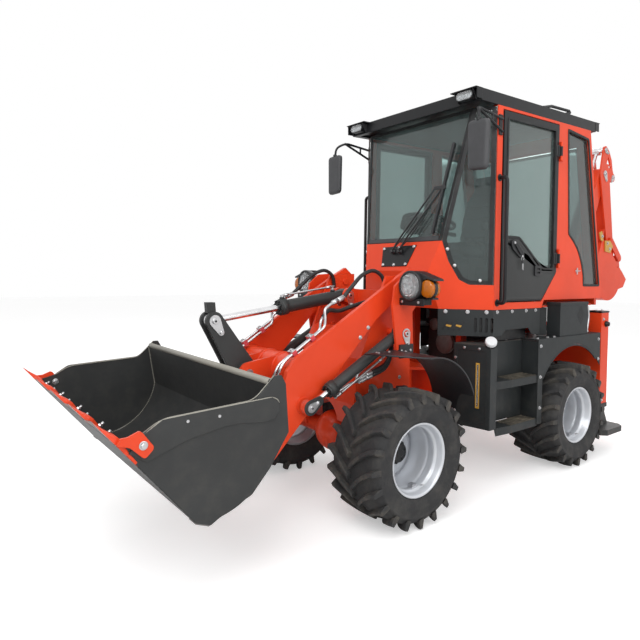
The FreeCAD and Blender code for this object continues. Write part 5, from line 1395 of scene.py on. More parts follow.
@dataclass
class Interior(Group):
    """Sprung seat with its padded cushions, levers and floor mat."""

    pressure: float = 4.0
    cap: float = 0.026
    voxel: float = 0.006

    def build(self) -> None:
        """Build what shows through the glass."""
        self.seat()
        self.fittings()

    def swell(self, thing: bpy.types.Object) -> None:
        """Fill a pad with pressure, with a cap on how far each point moves."""
        remesh = thing.modifiers.new("even", "REMESH")
        remesh.mode = "VOXEL"
        remesh.voxel_size = self.voxel
        self.apply(thing)
        still = [v.co.copy() for v in thing.data.vertices]
        cloth = thing.modifiers.new("cloth", "CLOTH")
        cloth.settings.use_pressure = True
        cloth.settings.uniform_pressure_force = self.pressure
        cloth.settings.effector_weights.gravity = 0.0
        cloth.point_cache.frame_start, cloth.point_cache.frame_end = 1, 20
        for frame_number in range(1, 21):
            bpy.context.scene.frame_set(frame_number)
        self.apply(thing)
        bpy.context.scene.frame_set(1)
        for vert, rest in zip(thing.data.vertices, still):
            move = vert.co - rest
            if move.length > self.cap:
                vert.co = rest + move.normalized() * self.cap

    def apply(self, thing: bpy.types.Object) -> None:
        """Turn the modifiers' result into the piece's own mesh."""
        bpy.context.view_layer.update()
        evaluated = thing.evaluated_get(bpy.context.evaluated_depsgraph_get())
        data = bpy.data.meshes.new_from_object(evaluated)
        thing.modifiers.clear()
        old = thing.data
        thing.data = data
        bpy.data.meshes.remove(old)

    def pad(self, name: str, rings: Sequence[Sequence[Vector]], channels: Sequence[tuple[Vector, Vector]]) -> None:
        """One padded piece, swollen and then drawn in along its sewn channels.

        Args:
            name: the piece's name.
            rings: loops of points from one end to the other.
            channels: planes of the seams, each a point and a direction across the seam.
        """
        form = Form(name)
        form._faces(rings, self.finishes["vinyl"], False, True)
        bmesh.ops.recalc_face_normals(form.mesh, faces=form.mesh.faces)
        data = bpy.data.meshes.new(name)
        form.mesh.to_mesh(data)
        form.mesh.free()
        data.materials.append(self.finishes["vinyl"])
        thing = bpy.data.objects.new(name, data)
        bpy.context.scene.collection.objects.link(thing)
        self.swell(thing)
        centre = sum((v.co for v in thing.data.vertices), Vector()) / len(thing.data.vertices)
        for vert in thing.data.vertices:
            for spot, across in channels:
                far = abs((vert.co - spot).dot(across))
                pull = 0.007 * math.exp(-(far / 0.006) ** 2)
                vert.co += (centre - vert.co).normalized() * pull
        for face in thing.data.polygons:
            face.use_smooth = True
        finer = thing.modifiers.new("finer", "SUBSURF")
        finer.levels = finer.render_levels = 1
        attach(thing, "rear_machine")
        log.info("%s rides on rear_machine", name)
        self.parts.append(thing)

    def seat(self) -> None:
        """Cushion and tall back with its head rest."""
        self.parts: list[bpy.types.Object] = []
        rings = []
        for z, shrink in ((1572.0, 16.0), (1590.0, 4.0), (1640.0, 2.0), (1664.0, 16.0)):
            ring = soft_corners(inset([(202.0, -222.0), (640.0, -206.0), (640.0, 206.0), (202.0, 222.0)], shrink), 60.0)
            rings.append([at(x, y, z + (6.0 if x > 560 else 0.0)) for x, y in ring])
        seams = [(at(330, 0, 1600), FORWARD), (at(470, 0, 1600), FORWARD), (at(0, 130, 0), OUT_LEFT),
                 (at(0, -130, 0), OUT_LEFT)]
        self.pad("seat_cushion", rings, seams)
        rings = []
        low, high = Vector((236.0, 1690.0)), Vector((136.0, 2290.0))
        for t, wide, deep in ((0.0, 190.0, 34.0), (0.08, 208.0, 40.0), (0.35, 214.0, 38.0), (0.6, 196.0, 34.0),
                              (0.72, 150.0, 32.0), (0.78, 132.0, 32.0), (0.9, 136.0, 34.0), (0.97, 118.0, 26.0)):
            spot = low.lerp(high, t)
            ring = soft_corners([(-deep, -wide), (deep, -wide + 14), (deep, wide - 14), (-deep, wide)], 26.0)
            rings.append([at(spot.x + a, b, spot.y) for a, b in ring])
        seams = [(at(0, 0, z), UPWARD) for z in (1800.0, 1905.0, 2010.0, 2110.0)]
        self.pad("seat_back", rings, seams)
        for thing in self.parts[:1]:
            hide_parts("seat_pads")

    def fittings(self) -> None:
        """Seat pan, instrument pod, levers with knobs, arm rests and the floor mat."""
        plastic, black, red = (self.finishes[key] for key in ("plastic", "black", "red_plastic"))
        form = Form("seat_pan")
        form.prism([at(206, -214, 1561), at(636, -200, 1561), at(636, 200, 1561), at(206, 214, 1561)],
                   Vector((0, 0, 9 * MM)), plastic)
        form.plate([(180, 1566), (206, 1566), (98, 2150), (86, 2150)], (-170, 170), plastic)
        for side in SIDES:
            form.plate(soft_corners([(250, 1765), (520, 1790), (520, 1815), (250, 1800)], 8.0),
                       (side * 232, side * 258), plastic)
        self.end(form, "rear_machine", Slot.PLASTIC, 0.004)
        knobs = Form("lever_knobs")
        for side in SIDES:
            top = at(600, side * 330, 1786)
            knobs.turned(top, at(604, side * 330, 1806) - at(600, side * 330, 1786),
                         [(0.011, -0.004), (0.02, 0.006), (0.026, 0.024), (0.024, 0.042), (0.013, 0.052),
                          (0.002, 0.055)], black, 24)
            for k, x in enumerate((300.0, 380.0, 460.0)):
                foot = at(x, side * 335, 1498)
                head = at(x + 24, side * 335, 1640)
                knobs.rod(foot, head, 0.006, self.finishes["steel"], 12)
                knobs.turned(head, head - foot, [(0.008, -0.004), (0.017, 0.006), (0.02, 0.02), (0.012, 0.032),
                                                 (0.002, 0.035)], red if k == 1 else black, 20)
        self.end(knobs, "rear_machine", Slot.PLASTIC)
        pod = Form("instrument_pod")
        pod.plate(soft_corners([(905, 1740), (1010, 1790), (985, 1878), (868, 1812), (872, 1752)], 18.0),
                  (-150, 150), plastic)
        pod.boss((880.0, 1785.0), (150, 156), 12, black, 20)
        self.end(pod, "rear_machine", Slot.PLASTIC, 0.004)
        mat = Form("floor_mat")
        for k in range(14):
            x = 640.0 + 24.0 * k
            mat.block(at(x, -245, 1217.5), at(x + 14, 245, 1223), self.finishes["hose"])
        mat.block(at(632, -252, 1217.2), at(984, 252, 1219.5), self.finishes["hose"])
        self.end(mat, "rear_machine", Slot.PLASTIC)


# ---- hydraulics -----------------------------------------------------------------------------------
@dataclass(frozen=True)
class Ram:
    """One cylinder: the body of its barrel, its two pins in side view, and its sizes in millimetres."""

    body: str
    base: Flat
    eye: Flat
    length: float
    radius: float
    y: float
    up: float = 1.0
    lead: float = 52.0


@dataclass
class Hydraulics(Group):
    """Gland bolts, ports and hard lines of the cylinders."""

    gland: float = 60.0
    rams: tuple[Ram, ...] = (
        Ram("lift_barrels", (1539.0, 1065.0), (2232.0, 688.0), 640.0, 34.0, 395.0, -1.0, 150.0),
        Ram("lift_barrels", (1539.0, 1065.0), (2232.0, 688.0), 640.0, 34.0, -395.0, -1.0, 150.0),
        Ram("tilt_barrel", (1673.0, 1290.0), (2630.0, 1158.0), 520.0, 40.0, 0.0),
        Ram("boom_barrel", (-1040.0, 470.0), (-1349.0, 1373.0), 600.0, 42.0, 0.0),
        Ram("dipper_barrel", (-1000.0, 1400.0), (-1712.0, 2751.0), 1000.0, 34.0, 0.0, -1.0),
        Ram("curl_barrel", (-1880.0, 2490.0), (-2044.0, 1648.0), 466.0, 32.0, 0.0, -1.0))

    def build(self) -> None:
        """Dress every barrel."""
        steels: dict[str, Form] = {}
        darks: dict[str, Form] = {}
        for ram in self.rams:
            steel = steels.setdefault(ram.body, Form(ram.body + "_lines"))
            dark = darks.setdefault(ram.body, Form(ram.body + "_glands"))
            self.dress(ram, steel, dark)
        for body, form in steels.items():
            self.end(form, body, Slot.STEEL, join=False)
        for body, form in darks.items():
            self.end(form, body, Slot.CHARCOAL, join=False)

    def dress(self, ram: Ram, steel: Form, dark: Form) -> None:
        """Wiper ring, socket bolts, ports and the line along one barrel.

        Args:
            ram: the cylinder.
            steel: piece that takes the line and its unions.
            dark: piece that takes the gland's rings, bolts and port blocks.
        """
        charcoal, black, zinc = (self.finishes[key] for key in ("charcoal", "black", "steel"))
        base, eye = at(ram.base[0], ram.y, ram.base[1]), at(ram.eye[0], ram.y, ram.eye[1])
        axis = (eye - base).normalized()
        up = Vector((-axis.z, 0, axis.x)) * ram.up
        side = Vector((0, 1, 0))
        r = ram.radius * MM
        end = base + axis * ram.length * MM
        big = r + 0.007
        dark.turned(end - axis * 0.002, axis, [(big + 0.004, -0.05), (big + 0.004, -0.012), (big, -0.008)],
                    charcoal, 40, closed=False)
        dark.turned(end - axis * 0.0003, axis, [(r * 0.62, 0), (r * 0.62, 0.006), (r * 0.56, 0.009)], black, 28)
        ring = []
        for k in range(8):
            a = 2 * math.pi * (k + 0.5) / 8
            ring.append((end + (up * math.cos(a) + side * math.sin(a)) * (big - 0.007), axis))
        self.heads(dark, Head.SOCKET, ring, "black")
        rear, front = base + axis * (ram.radius + ram.lead) * MM, end - axis * self.gland * 0.55 * MM
        for spot, height in ((rear, r), (front, big + 0.004)):
            foot = spot + up * (height - 0.003)
            dark.turned(foot, up, [(0.016, 0), (0.016, 0.01), (0.013, 0.014)], charcoal, 20)
            steel.turned(foot + up * 0.012, up, [(0.010, 0), (0.010, 0.012), (0.008, 0.015)], zinc, 6, False)
        low, high = rear + up * (r + 0.03), front + up * (r + 0.03)
        steel.tube([front + up * (big + 0.014), high, low, low - axis * 0.02], 0.006, zinc, 0.02)
        steel.rod(low + axis * 0.045, low + axis * 0.01, 0.0095, zinc, 6)
        steel.rod(high - axis * 0.05, high - axis * 0.02, 0.0095, zinc, 6)


# ---- loader ---------------------------------------------------------------------------------------
@dataclass
class Loader(Group):
    """Lines, clamps, keepers and bolts of the loader arms, and the bellcrank's trim."""

    arm_face: float = 349.0
    pipe_y: float = 382.0
    line_y: float = 297.0
    lift_eye: Flat = (2232.0, 688.0)
    tilt_eye: Flat = (2630.0, 1158.0)

    def build(self) -> None:
        """Build everything on the arms."""
        self.lines()
        self.fasteners()
        self.bellcrank()
        self.lift_eyes()
        self.lift_plumbing()

    def lines(self) -> None:
        """Hard lines inside both arms with clamps, and the hoses that bridge to the towers."""
        zinc = self.finishes["steel"]
        form = Form("arm_hard_lines")
        path = [at(2375, self.line_y, 868), at(2337, self.line_y, 938), at(2132, self.line_y, 1068),
                at(2052, self.line_y, 1118), at(2050, self.line_y, 1170), at(2052, self.line_y - 8, 1222),
                at(1990, self.line_y - 14, 1256), at(1947, self.line_y - 16, 1272)]
        second = [p + Vector((0.012, -0.03, -0.02)) for p in path[:5]] + [at(2032, self.line_y - 44, 1176)]
        for side in SIDES:
            flip = Vector((1, side, 1))
            form.tube(over(path, flip), PIPE_R, zinc, 0.04, 12)
            form.tube(over(second, flip), PIPE_R, zinc, 0.03, 12)
            form.rod(path[-2] * flip, path[-1] * flip, 0.015, zinc, 6)
            end = path[-1] * flip
            way = (path[-1] - path[-2]).normalized() * flip
            form.turned(end, way, [(0.014, 0), (0.016, 0.012), (0.016, 0.05), (0.0125, 0.055)], zinc, 20)
        self.end(form, "loader_arms", Slot.STEEL, join=False)
        clamps = Form("arm_line_clamps")
        for side in SIDES:
            flip = Vector((1, side, 1))
            for t in (0.02, 0.62):
                spot = path[2].lerp(path[1], t) + Vector((0.006, -0.014, -0.01))
                self.clamp(clamps, spot * flip, (path[2] - path[1]) * flip, Vector((0.3, 0, 1)), 25.0)
        self.end(clamps, "loader_arms", Slot.PLASTIC, 0.0012, join=False)
        for name, side in (("left", 1), ("right", -1)):
            flip = Vector((1, side, 1))
            hose = Form("arm_hose_" + name)
            start = path[-1] + (path[-1] - path[-2]).normalized() * 0.05
            route = [start, at(1850, 272, 1335), at(1742, 262, 1430), at(1640, 258, 1462), at(1562, 262, 1420),
                     at(1545, 268, 1330), at(1552, 272, 1235)]
            hose.tube(over(route, flip), HOSE_R, self.finishes["hose"], 0.09, 14)
            other = [at(2032, 253, 1176), at(1985, 240, 1215), at(1900, 232, 1200), at(1780, 232, 1235),
                     at(1660, 236, 1260), at(1590, 240, 1215)]
            hose.tube(over(other, flip), HOSE_R, self.finishes["hose"], 0.07, 14)
            thing = self.end(hose, "", Slot.PLASTIC)
            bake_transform(thing)

    def fasteners(self) -> None:
        """Bolts on the arms' outer faces, keepers at the bucket pins and welds of the cross tube."""
        form = Form("arm_bolts")
        spots = []
        for side, way in OUTWARD:
            spots += [(at(x, side * (self.arm_face + 0.4), z), way)
                      for x, z in ((1760, 1105), (1822, 1048), (1500, 1335))]
            self.keeper(form, (2600.0, 375.0), (2592.0, 445.0), side * 385.0, side, 30.0)
        self.heads(form, Head.BOLT, spots)
        self.end(form, "loader_arms", Slot.STEEL, join=False)
        weld = Form("cross_tube_welds")
        for side in SIDES:
            centre = at(2200, side * 316, 865)
            weld.turned(centre, OUT_LEFT * side, [(0.098, -0.001), (0.094, -0.006), (0.09, -0.009)],
                        self.finishes["orange"], 48)
            for y in (75.0, 95.0):
                weld.turned(at(2200, side * y, 865), OUT_LEFT * (side if y > 80 else -side),
                            [(0.097, -0.001), (0.094, 0.004), (0.0895, 0.007)], self.finishes["orange"], 48)
        self.end(weld, "loader_arms", Slot.ORANGE)

    def bellcrank(self) -> None:
        """Keepers on the bellcrank's pins and the block on the rod's eye between its plates."""
        form = Form("bellcrank_keepers")
        for side in SIDES:
            self.keeper(form, self.tilt_eye, (2592.0, 1092.0), side * 46.0, side, 34.0)
        self.end(form, "bellcrank", Slot.STEEL, join=False)
        block = Form("rod_eye_block")
        base = at(2634, -22, 1200)
        lean = Vector((0.1, 0, 1)).normalized()
        foot = [base + Vector((x, y, 0)) for x, y in ((-0.024, 0.0), (0.026, 0.0), (0.026, 0.044), (-0.024, 0.044))]
        block.prism(foot, lean * 0.062, self.finishes["charcoal"])
        self.end(block, "tilt_rod", Slot.CHARCOAL, 0.003)

    def lift_eyes(self) -> None:
        """Dark clevis cheeks and keepers at the lift rods' eyes."""
        form = Form("lift_eye_keepers")
        cheeks = Form("lift_eye_cheeks")
        near = (2176.0, 718.0)
        for side in SIDES:
            outline = teardrop(self.lift_eye, 44.0, near, 30.0)
            cheeks.plate(outline, (side * 415.6, side * 421.0), self.finishes["charcoal"])
            self.keeper(form, self.lift_eye, (2190.0, 710.0), side * 421.0, side, 26.0)
        self.end(cheeks, "lift_rods", Slot.CHARCOAL, 0.002)
        self.end(form, "lift_rods", Slot.STEEL, join=False)

    def lift_plumbing(self) -> None:
        """Union blocks under the lift cylinders with their pipes and the thick hoses back to the towers."""
        zinc, hose, y = self.finishes["steel"], self.finishes["hose"], self.pipe_y
        form, dark = Form("lift_pipes"), Form("lift_hoses")
        union = [(0.011, 0), (0.011, 0.02), (0.014, 0.022), (0.014, 0.05), (0.012, 0.06), (0.015, 0.065),
                 (0.015, 0.1), (0.013, 0.105)]
        for side in SIDES:
            flip = Vector((1, side, 1))
            for path in (([at(2050, y + 2, 738), at(1975, y, 762), at(1925, y, 785), at(1858, y, 790)]),
                         ([at(1640, y, 968), at(1868, y, 838), at(1880, y, 806), at(1850, y, 800)])):
                form.tube(over(path, flip), THIN_PIPE_R, zinc, 0.03, 12)
            for z in (786.0, 806.0):
                form.turned(at(1858, side * y, z), Vector((-1, 0, 0.28)), union, zinc, 16, False)
                route = [at(1765, y, z + 26), at(1700, y, z + 42), at(1640, y - 2, z + 62), at(1600, y - 6, z + 110),
                         at(1580, y - 10, z + 190)]
                dark.tube(over(route, flip), LIFT_HOSE_R, hose, 0.06, 14)
        self.end(form, "lift_barrels", Slot.STEEL, join=False)
        self.end(dark, "lift_barrels", Slot.PLASTIC)


@dataclass
class Bucket(Group):
    """Teeth, corner cutters, edges, weld seams and bolts of the loader bucket."""

    lip: Flat = (3385.0, 790.0)
    heel: Flat = (3050.0, 388.0)
    half: float = 770.0
    span: float = 738.0
    teeth: int = 5
    heel_in: Flat = (3040.0, 396.5)
    low_in: Flat = (2799.0, 470.8)
    knee_in: Flat = (2674.6, 688.0)
    rim_in: Flat = (2714.0, 925.0)

    def build(self) -> None:
        """Build the bucket's ironwork."""
        self.tooth_row()
        self.corner_cutters()
        self.edges()
        self.seams()

    def on_edge(self, back: float, proud: float, y: float) -> Vector:
        """Point behind the lip along the floor, and proud of its upper side."""
        lip, heel = Vector(self.lip), Vector(self.heel)
        run = (heel - lip).normalized()
        rise = Vector((run.y, -run.x)) * -1.0
        spot = lip + run * back + rise * -proud
        return at(spot.x, y, spot.y)

    def tooth_row(self) -> None:
        """Forged teeth with long adapters, and their bolts."""
        orange = self.finishes["orange"]
        form, bolts = Form("forged_teeth"), Form("tooth_bolts")
        profile = ((-98.0, 13.0, 1.2, 2.4), (-60.0, 22.0, 0.8, 9.5), (-22.0, 33.0, 0.6, 19.0), (-4.0, 38.0, 0.6, 25.0),
                   (14.0, 39.0, 0.5, 27.0), (40.0, 37.0, 0.5, 24.0), (80.0, 34.0, 0.5, 20.0), (124.0, 33.0, 0.5, 17.0),
                   (142.0, 28.0, 0.5, 15.0), (150.0, 16.0, 0.5, 12.0))
        up = (self.on_edge(0, 10, 0) - self.on_edge(0, 0, 0)).normalized()
        spots = []
        for k in range(self.teeth):
            y = -self.span + 2 * self.span * k / (self.teeth - 1)
            rings = []
            for back, wide, low, top in profile:
                rings.append([self.on_edge(back, p, y + a) for a, p in
                              ((-wide, low), (wide, low), (wide, top * 0.62), (wide * 0.72, top), (-wide * 0.72, top),
                               (-wide, top * 0.62))])
            form._faces(rings, orange, False, False)
            spots += [(self.on_edge(back, top, y), up) for back, top in ((66.0, 20.5), (116.0, 17.3))]
        self.heads(bolts, Head.NUT, spots)
        for spot, _ in spots:
            bolts.rod(spot + up * 0.008, spot + up * 0.026, 0.0065, self.finishes["steel"], 12)
        thing = self.end(form, "loader_bucket", Slot.ORANGE, 0.003)
        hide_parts("bucket_teeth")
        self.end(bolts, "loader_bucket", Slot.STEEL, join=False)
        edge = Form("bolt_on_edge")
        y0, y1 = -self.half + 40, self.half - 40
        ring = [self.on_edge(b, p, y0) for b, p in ((-14.0, 0.4), (6.0, 12.0), (22.0, 12.5), (22.0, 10.2), (0.0, 0.4))]
        edge.prism(ring, Vector((0, (y1 - y0) * MM, 0)), self.finishes["worn"])
        self.end(edge, "loader_bucket", Slot.STEEL)

    def corner_cutters(self) -> None:
        """Orange plates that wrap the bucket's front corners, each with its bolt and square seat."""
        orange, dark = self.finishes["orange"], self.finishes["seal"]
        form = Form("corner_cutters")
        plate = [(3381, 781), (3366, 806), (3338, 806), (3295, 823), (3284, 818), (3239, 757), (3240, 744), (3268, 716),
                 (3280, 718), (3330, 766), (3352, 772)]
        seats = []
        for side in SIDES:
            form.plate(soft_corners(plate, 7.0), (side * 776.4, side * 788), orange)
            seat = [(3279 + a, 766 + b) for a, b in ((-17, -2), (0, -19), (17, 2), (0, 19))]
            form.plate(seat, (side * 788.2, side * 788.8), dark)
            seats.append((at(3279, side * 788.4, 766), OUT_LEFT * side))
        self.end(form, "loader_bucket", Slot.ORANGE, 0.0025)
        bolts = Form("corner_bolts")
        self.heads(bolts, Head.NUT, seats)
        self.heads(bolts, Head.NUT, [(at(3272, side * 757.6, 762), OUT_RIGHT * side) for side in (1, -1)])
        self.end(bolts, "loader_bucket", Slot.STEEL, join=False)

    def edges(self) -> None:
        """Painted highlight in pale grey along the side plates' edges and on the rim bar's sleeve, and the holes of the
        flange.
        """
        form = Form("bucket_edges")
        # painted highlight: pale grey strips and sleeve where the plate edges and the rim bar catch the light
        pale = self.finishes["rim_grey"]
        form.rod(at(2700, -756, 940), at(2700, 756, 940), 0.0163, pale, 32)
        strip = [(3262, 810), (3200, 851), (2704, 875), (2676, 864), (2664, 846)]
        for side in SIDES:
            form.tube([at(x, side * 773, z) for x, z in strip], 0.0028, pale, 0.02, 8)
            form.tube([at(x, side * 757.5, z) for x, z in ((3272, 805), (3198, 849), (2786, 870), (2712, 940),
                                                           (2684, 969))], 0.0026, pale, 0.04, 8)
            for x in (2958.0, 3097.0):
                form.boss((x, 828.0), (side * 776, side * 777), 6.5, self.finishes["steel"], 20, 0.3)
        self.end(form, "loader_bucket", Slot.CHARCOAL)
        pads = Form("bucket_heel_pads")
        for side in SIDES:
            pads.plate(soft_corners([(2996, 366), (3060, 392), (3052, 402), (2988, 376)], 4.0),
                       (side * 700, side * 764), self.finishes["worn"])
        self.end(pads, "loader_bucket", Slot.STEEL)

    @staticmethod
    def through(first: Flat, middle: Flat, last: Flat) -> list[Flat]:
        """Points of the arc through three points in side view, from the last to the first."""
        (ax, ay), (bx, by), (cx, cy) = first, middle, last
        d = 2 * (ax * (by - cy) + bx * (cy - ay) + cx * (ay - by))
        squares = [x * x + y * y for x, y in (first, middle, last)]
        ux = (squares[0] * (by - cy) + squares[1] * (cy - ay) + squares[2] * (ay - by)) / d
        uy = (squares[0] * (cx - bx) + squares[1] * (ax - cx) + squares[2] * (bx - ax)) / d
        radius = math.hypot(ax - ux, ay - uy)
        start, end = (math.degrees(math.atan2(p[1] - uy, p[0] - ux)) % 360 for p in (last, first))
        return [(ux + radius * math.cos(math.radians(start + (end - start) * k / 16)),
                 uy + radius * math.sin(math.radians(start + (end - start) * k / 16))) for k in range(17)]

    def seams(self) -> None:
        """Run of weld beads where each side plate meets the shell, pale grey as a painted highlight."""
        bead = Form("weld_bead")
        # painted highlight: the beads are pale grey where they catch the light
        bead.turned(Vector((0, 0, -0.003)), UPWARD, [(0.0005, 0), (0.0036, 0.0015), (0.0042, 0.004), (0.0028, 0.0064),
                                                     (0.0005, 0.0074)], self.finishes["rim_grey"], 7)
        arc = self.through(self.heel_in, self.low_in, self.knee_in)
        line = [self.rim_in] + arc + [(3150.0, 524.0)]
        places = []
        for side in SIDES:
            for start, end in zip(line, line[1:]):
                a, b = Vector(start), Vector(end)
                for k in range(max(1, int((b - a).length / 9.0))):
                    spot = a.lerp(b, k / max(1, int((b - a).length / 9.0)))
                    places.append((at(spot.x, side * 756.0, spot.y), OUT_RIGHT * side))
        form = Form("bucket_weld_seams")
        form.take(self.repeater.spread(bead, places, self.finishes["rim_grey"]), self.finishes["rim_grey"])
        self.end(form, "loader_bucket", Slot.CHARCOAL, join=False)


# ---- front machine --------------------------------------------------------------------------------
@dataclass
class FrontMachine(Group):
    """Head and side lamps, keepers and bolts of the towers, and the mudguards' trim."""

    lamp: tuple[float, float, float] = (1606.0, 549.0, 1366.0)
    amber: tuple[float, float, float] = (1556.0, 664.0, 1350.0)
    column_face: float = 455.4

    def build(self) -> None:
        """Build everything on the front frame."""
        self.headlamps()
        self.tower_trim()
        self.mudguards()

    def headlamps(self) -> None:
        """Drum with seven lights in a pale face, the two-faced amber lamp, the hood and the bracket."""
        plastic, black, led, lens, amber = (self.finishes[key] for key in ("plastic", "black", "led", "lens", "amber"))
        form, faces, glow, clear = (Form(name) for name in ("headlamp_drums", "headlamp_faces", "side_lamp_ambers",
                                                            "headlamp_lenses"))
        x, y, z = self.lamp
        ax, ay, az = self.amber
        for side in SIDES:
            centre = at(x, side * y, z)
            drum = [(0.0, -0.136), (0.034, -0.134), (0.05, -0.118), (0.076, -0.07), (0.086, -0.04), (0.0905, -0.034),
                    (0.0915, 0.0), (0.0905, 0.007), (0.078, 0.008), (0.0755, -0.006), (0.0, -0.0065)]
            form.turned(centre, FORWARD, drum, plastic, 56)
            faces.turned(centre, FORWARD, [(0.0, -0.0058), (0.0745, -0.0058), (0.0745, -0.0045), (0.0, -0.0045)],
                         self.finishes["lamp_white"], 48, False)
            for k in range(7):
                a = 2 * math.pi * k / 6 + math.pi / 6
                far = 0.0 if k == 6 else 0.046
                spot = centre + Vector((-0.0045, math.sin(a) * far, math.cos(a) * far))
                faces.turned(spot, FORWARD, [(0.017, 0), (0.017, 0.004), (0.015, 0.005), (0.009, 0.0005),
                                             (0.0, 0.0003)], led, 20)
            clear.turned(centre, FORWARD, [(0.0, 0.002), (0.0765, 0.002), (0.0765, 0.004), (0.05, 0.0065),
                                           (0.0, 0.0078)], lens, 48)
            spot = at(ax, side * ay, az)
            form.turned(spot, FORWARD, [(0.045, -0.014), (0.054, -0.012), (0.0555, -0.009), (0.0555, 0.007),
                                        (0.054, 0.01), (0.045, 0.012)], plastic, 40)
            for way in (1, -1):
                start = spot + FORWARD * (0.0115 if way > 0 else -0.0135)
                glow.turned(start, FORWARD * way, [(0.0, -0.001), (0.051, -0.001), (0.053, 0.004), (0.052, 0.018),
                                                   (0.044, 0.027), (0.026, 0.031), (0.0, 0.032)], amber, 40)
            hood = [(549, 1457), (592, 1449), (720, 1408), (722, 1396), (664, 1408), (634, 1398), (612, 1388),
                    (560, 1420)]
            form.prism([at(1500, side * a, b) for a, b in hood], Vector((0.086, 0, 0)), plastic)
            form.prism([at(1508, side * a, b) for a, b in ((598, 1350), (640, 1310), (690, 1296), (690, 1286),
                                                           (560, 1286), (560, 1300))], Vector((0.05, 0, 0)), plastic)
            form.block(at(1512, side * self.column_face, 1252), at(1600, side * 640, 1288), black)
            form.block(at(1592, side * self.column_face, 1246), at(1602, side * 655, 1290), black)
        thing = self.end(form, "front_machine", Slot.BLACK, 0.0025)
        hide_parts("headlamps")
        self.end(faces, "front_machine", Slot.LENS)
        self.end(glow, "front_machine", Slot.LENS)
        self.end(clear, "front_machine", Slot.LENS)

    def tower_trim(self) -> None:
        """Keepers and bolts on the towers' plates."""
        form, dark = Form("tower_keepers"), Form("tower_brackets")
        spots = []
        for side, way in OUTWARD:
            self.keeper(form, (1539.0, 1065.0), (1526.0, 1004.0), side * self.column_face, side, 33.0)
            self.keeper(form, (1433.0, 1375.0), (1484.0, 1350.0), side * self.column_face, side, 33.0)
            self.keeper(form, (1673.0, 1290.0), (1658.0, 1228.0), side * 62.2, side, 33.0)
            dark.plate(capsule((1548.0, 962.0), 42.0, 15.0), (side * self.column_face, side * (self.column_face + 8)),
                       self.finishes["black"])
            spots += [(at(x, side * (self.column_face + 8), 962), way) for x in (1510, 1586)]
            spots += [(at(x, side * 305.4, z), way) for x, z in ((1440, 760), (1560, 720), (1700, 700), (1780, 560),
                                                                 (1420, 560))]
            spots += [(at(1598, side * y, 1246 + 22), FORWARD) for y in (480, 616)]
        self.heads(form, Head.BOLT, spots)
        self.end(form, "front_machine", Slot.STEEL, join=False)
        self.end(dark, "front_machine", Slot.BLACK, 0.002)

    def mudguards(self) -> None:
        """Rolled beads along the mudguards' edges and the bolts along their inner side."""
        form, bolts = Form("mudguard_beads"), Form("mudguard_bolts")
        cx, cz, r = 1650.0, 588.0, 380.0
        spots = []
        for side in SIDES:
            for edge_y in (794.0, 459.0):
                arc = [at(cx + (r - 3) * math.cos(math.radians(a)), side * edge_y,
                          cz + (r - 3) * math.sin(math.radians(a))) for a in range(92, 157, 8)]
                lead = [at(1690 if edge_y > 700 else 1876, side * edge_y, 965)]
                form.tube(lead + arc, 0.0055, self.finishes["plastic"], 0.02, 10)
            form.tube([at(1690, side * 794, 965), at(1789, side * 640, 965), at(1878, side * 470, 965)], 0.0055,
                      self.finishes["plastic"], 0.02, 10)
            for y in (476, 492):
                spots += [(at(x, side * y, 968), UPWARD) for x in (1700 + (y - 476), 1800)]
            for a in (100, 112, 124):
                lean = Vector((math.cos(math.radians(a)), 0, math.sin(math.radians(a))))
                spots.append((at(cx + r * lean.x, side * 500, cz + r * lean.z), lean))
        self.end(form, "front_machine", Slot.PLASTIC)
        self.heads(bolts, Head.SCREW, spots)
        self.end(bolts, "front_machine", Slot.STEEL, join=False)


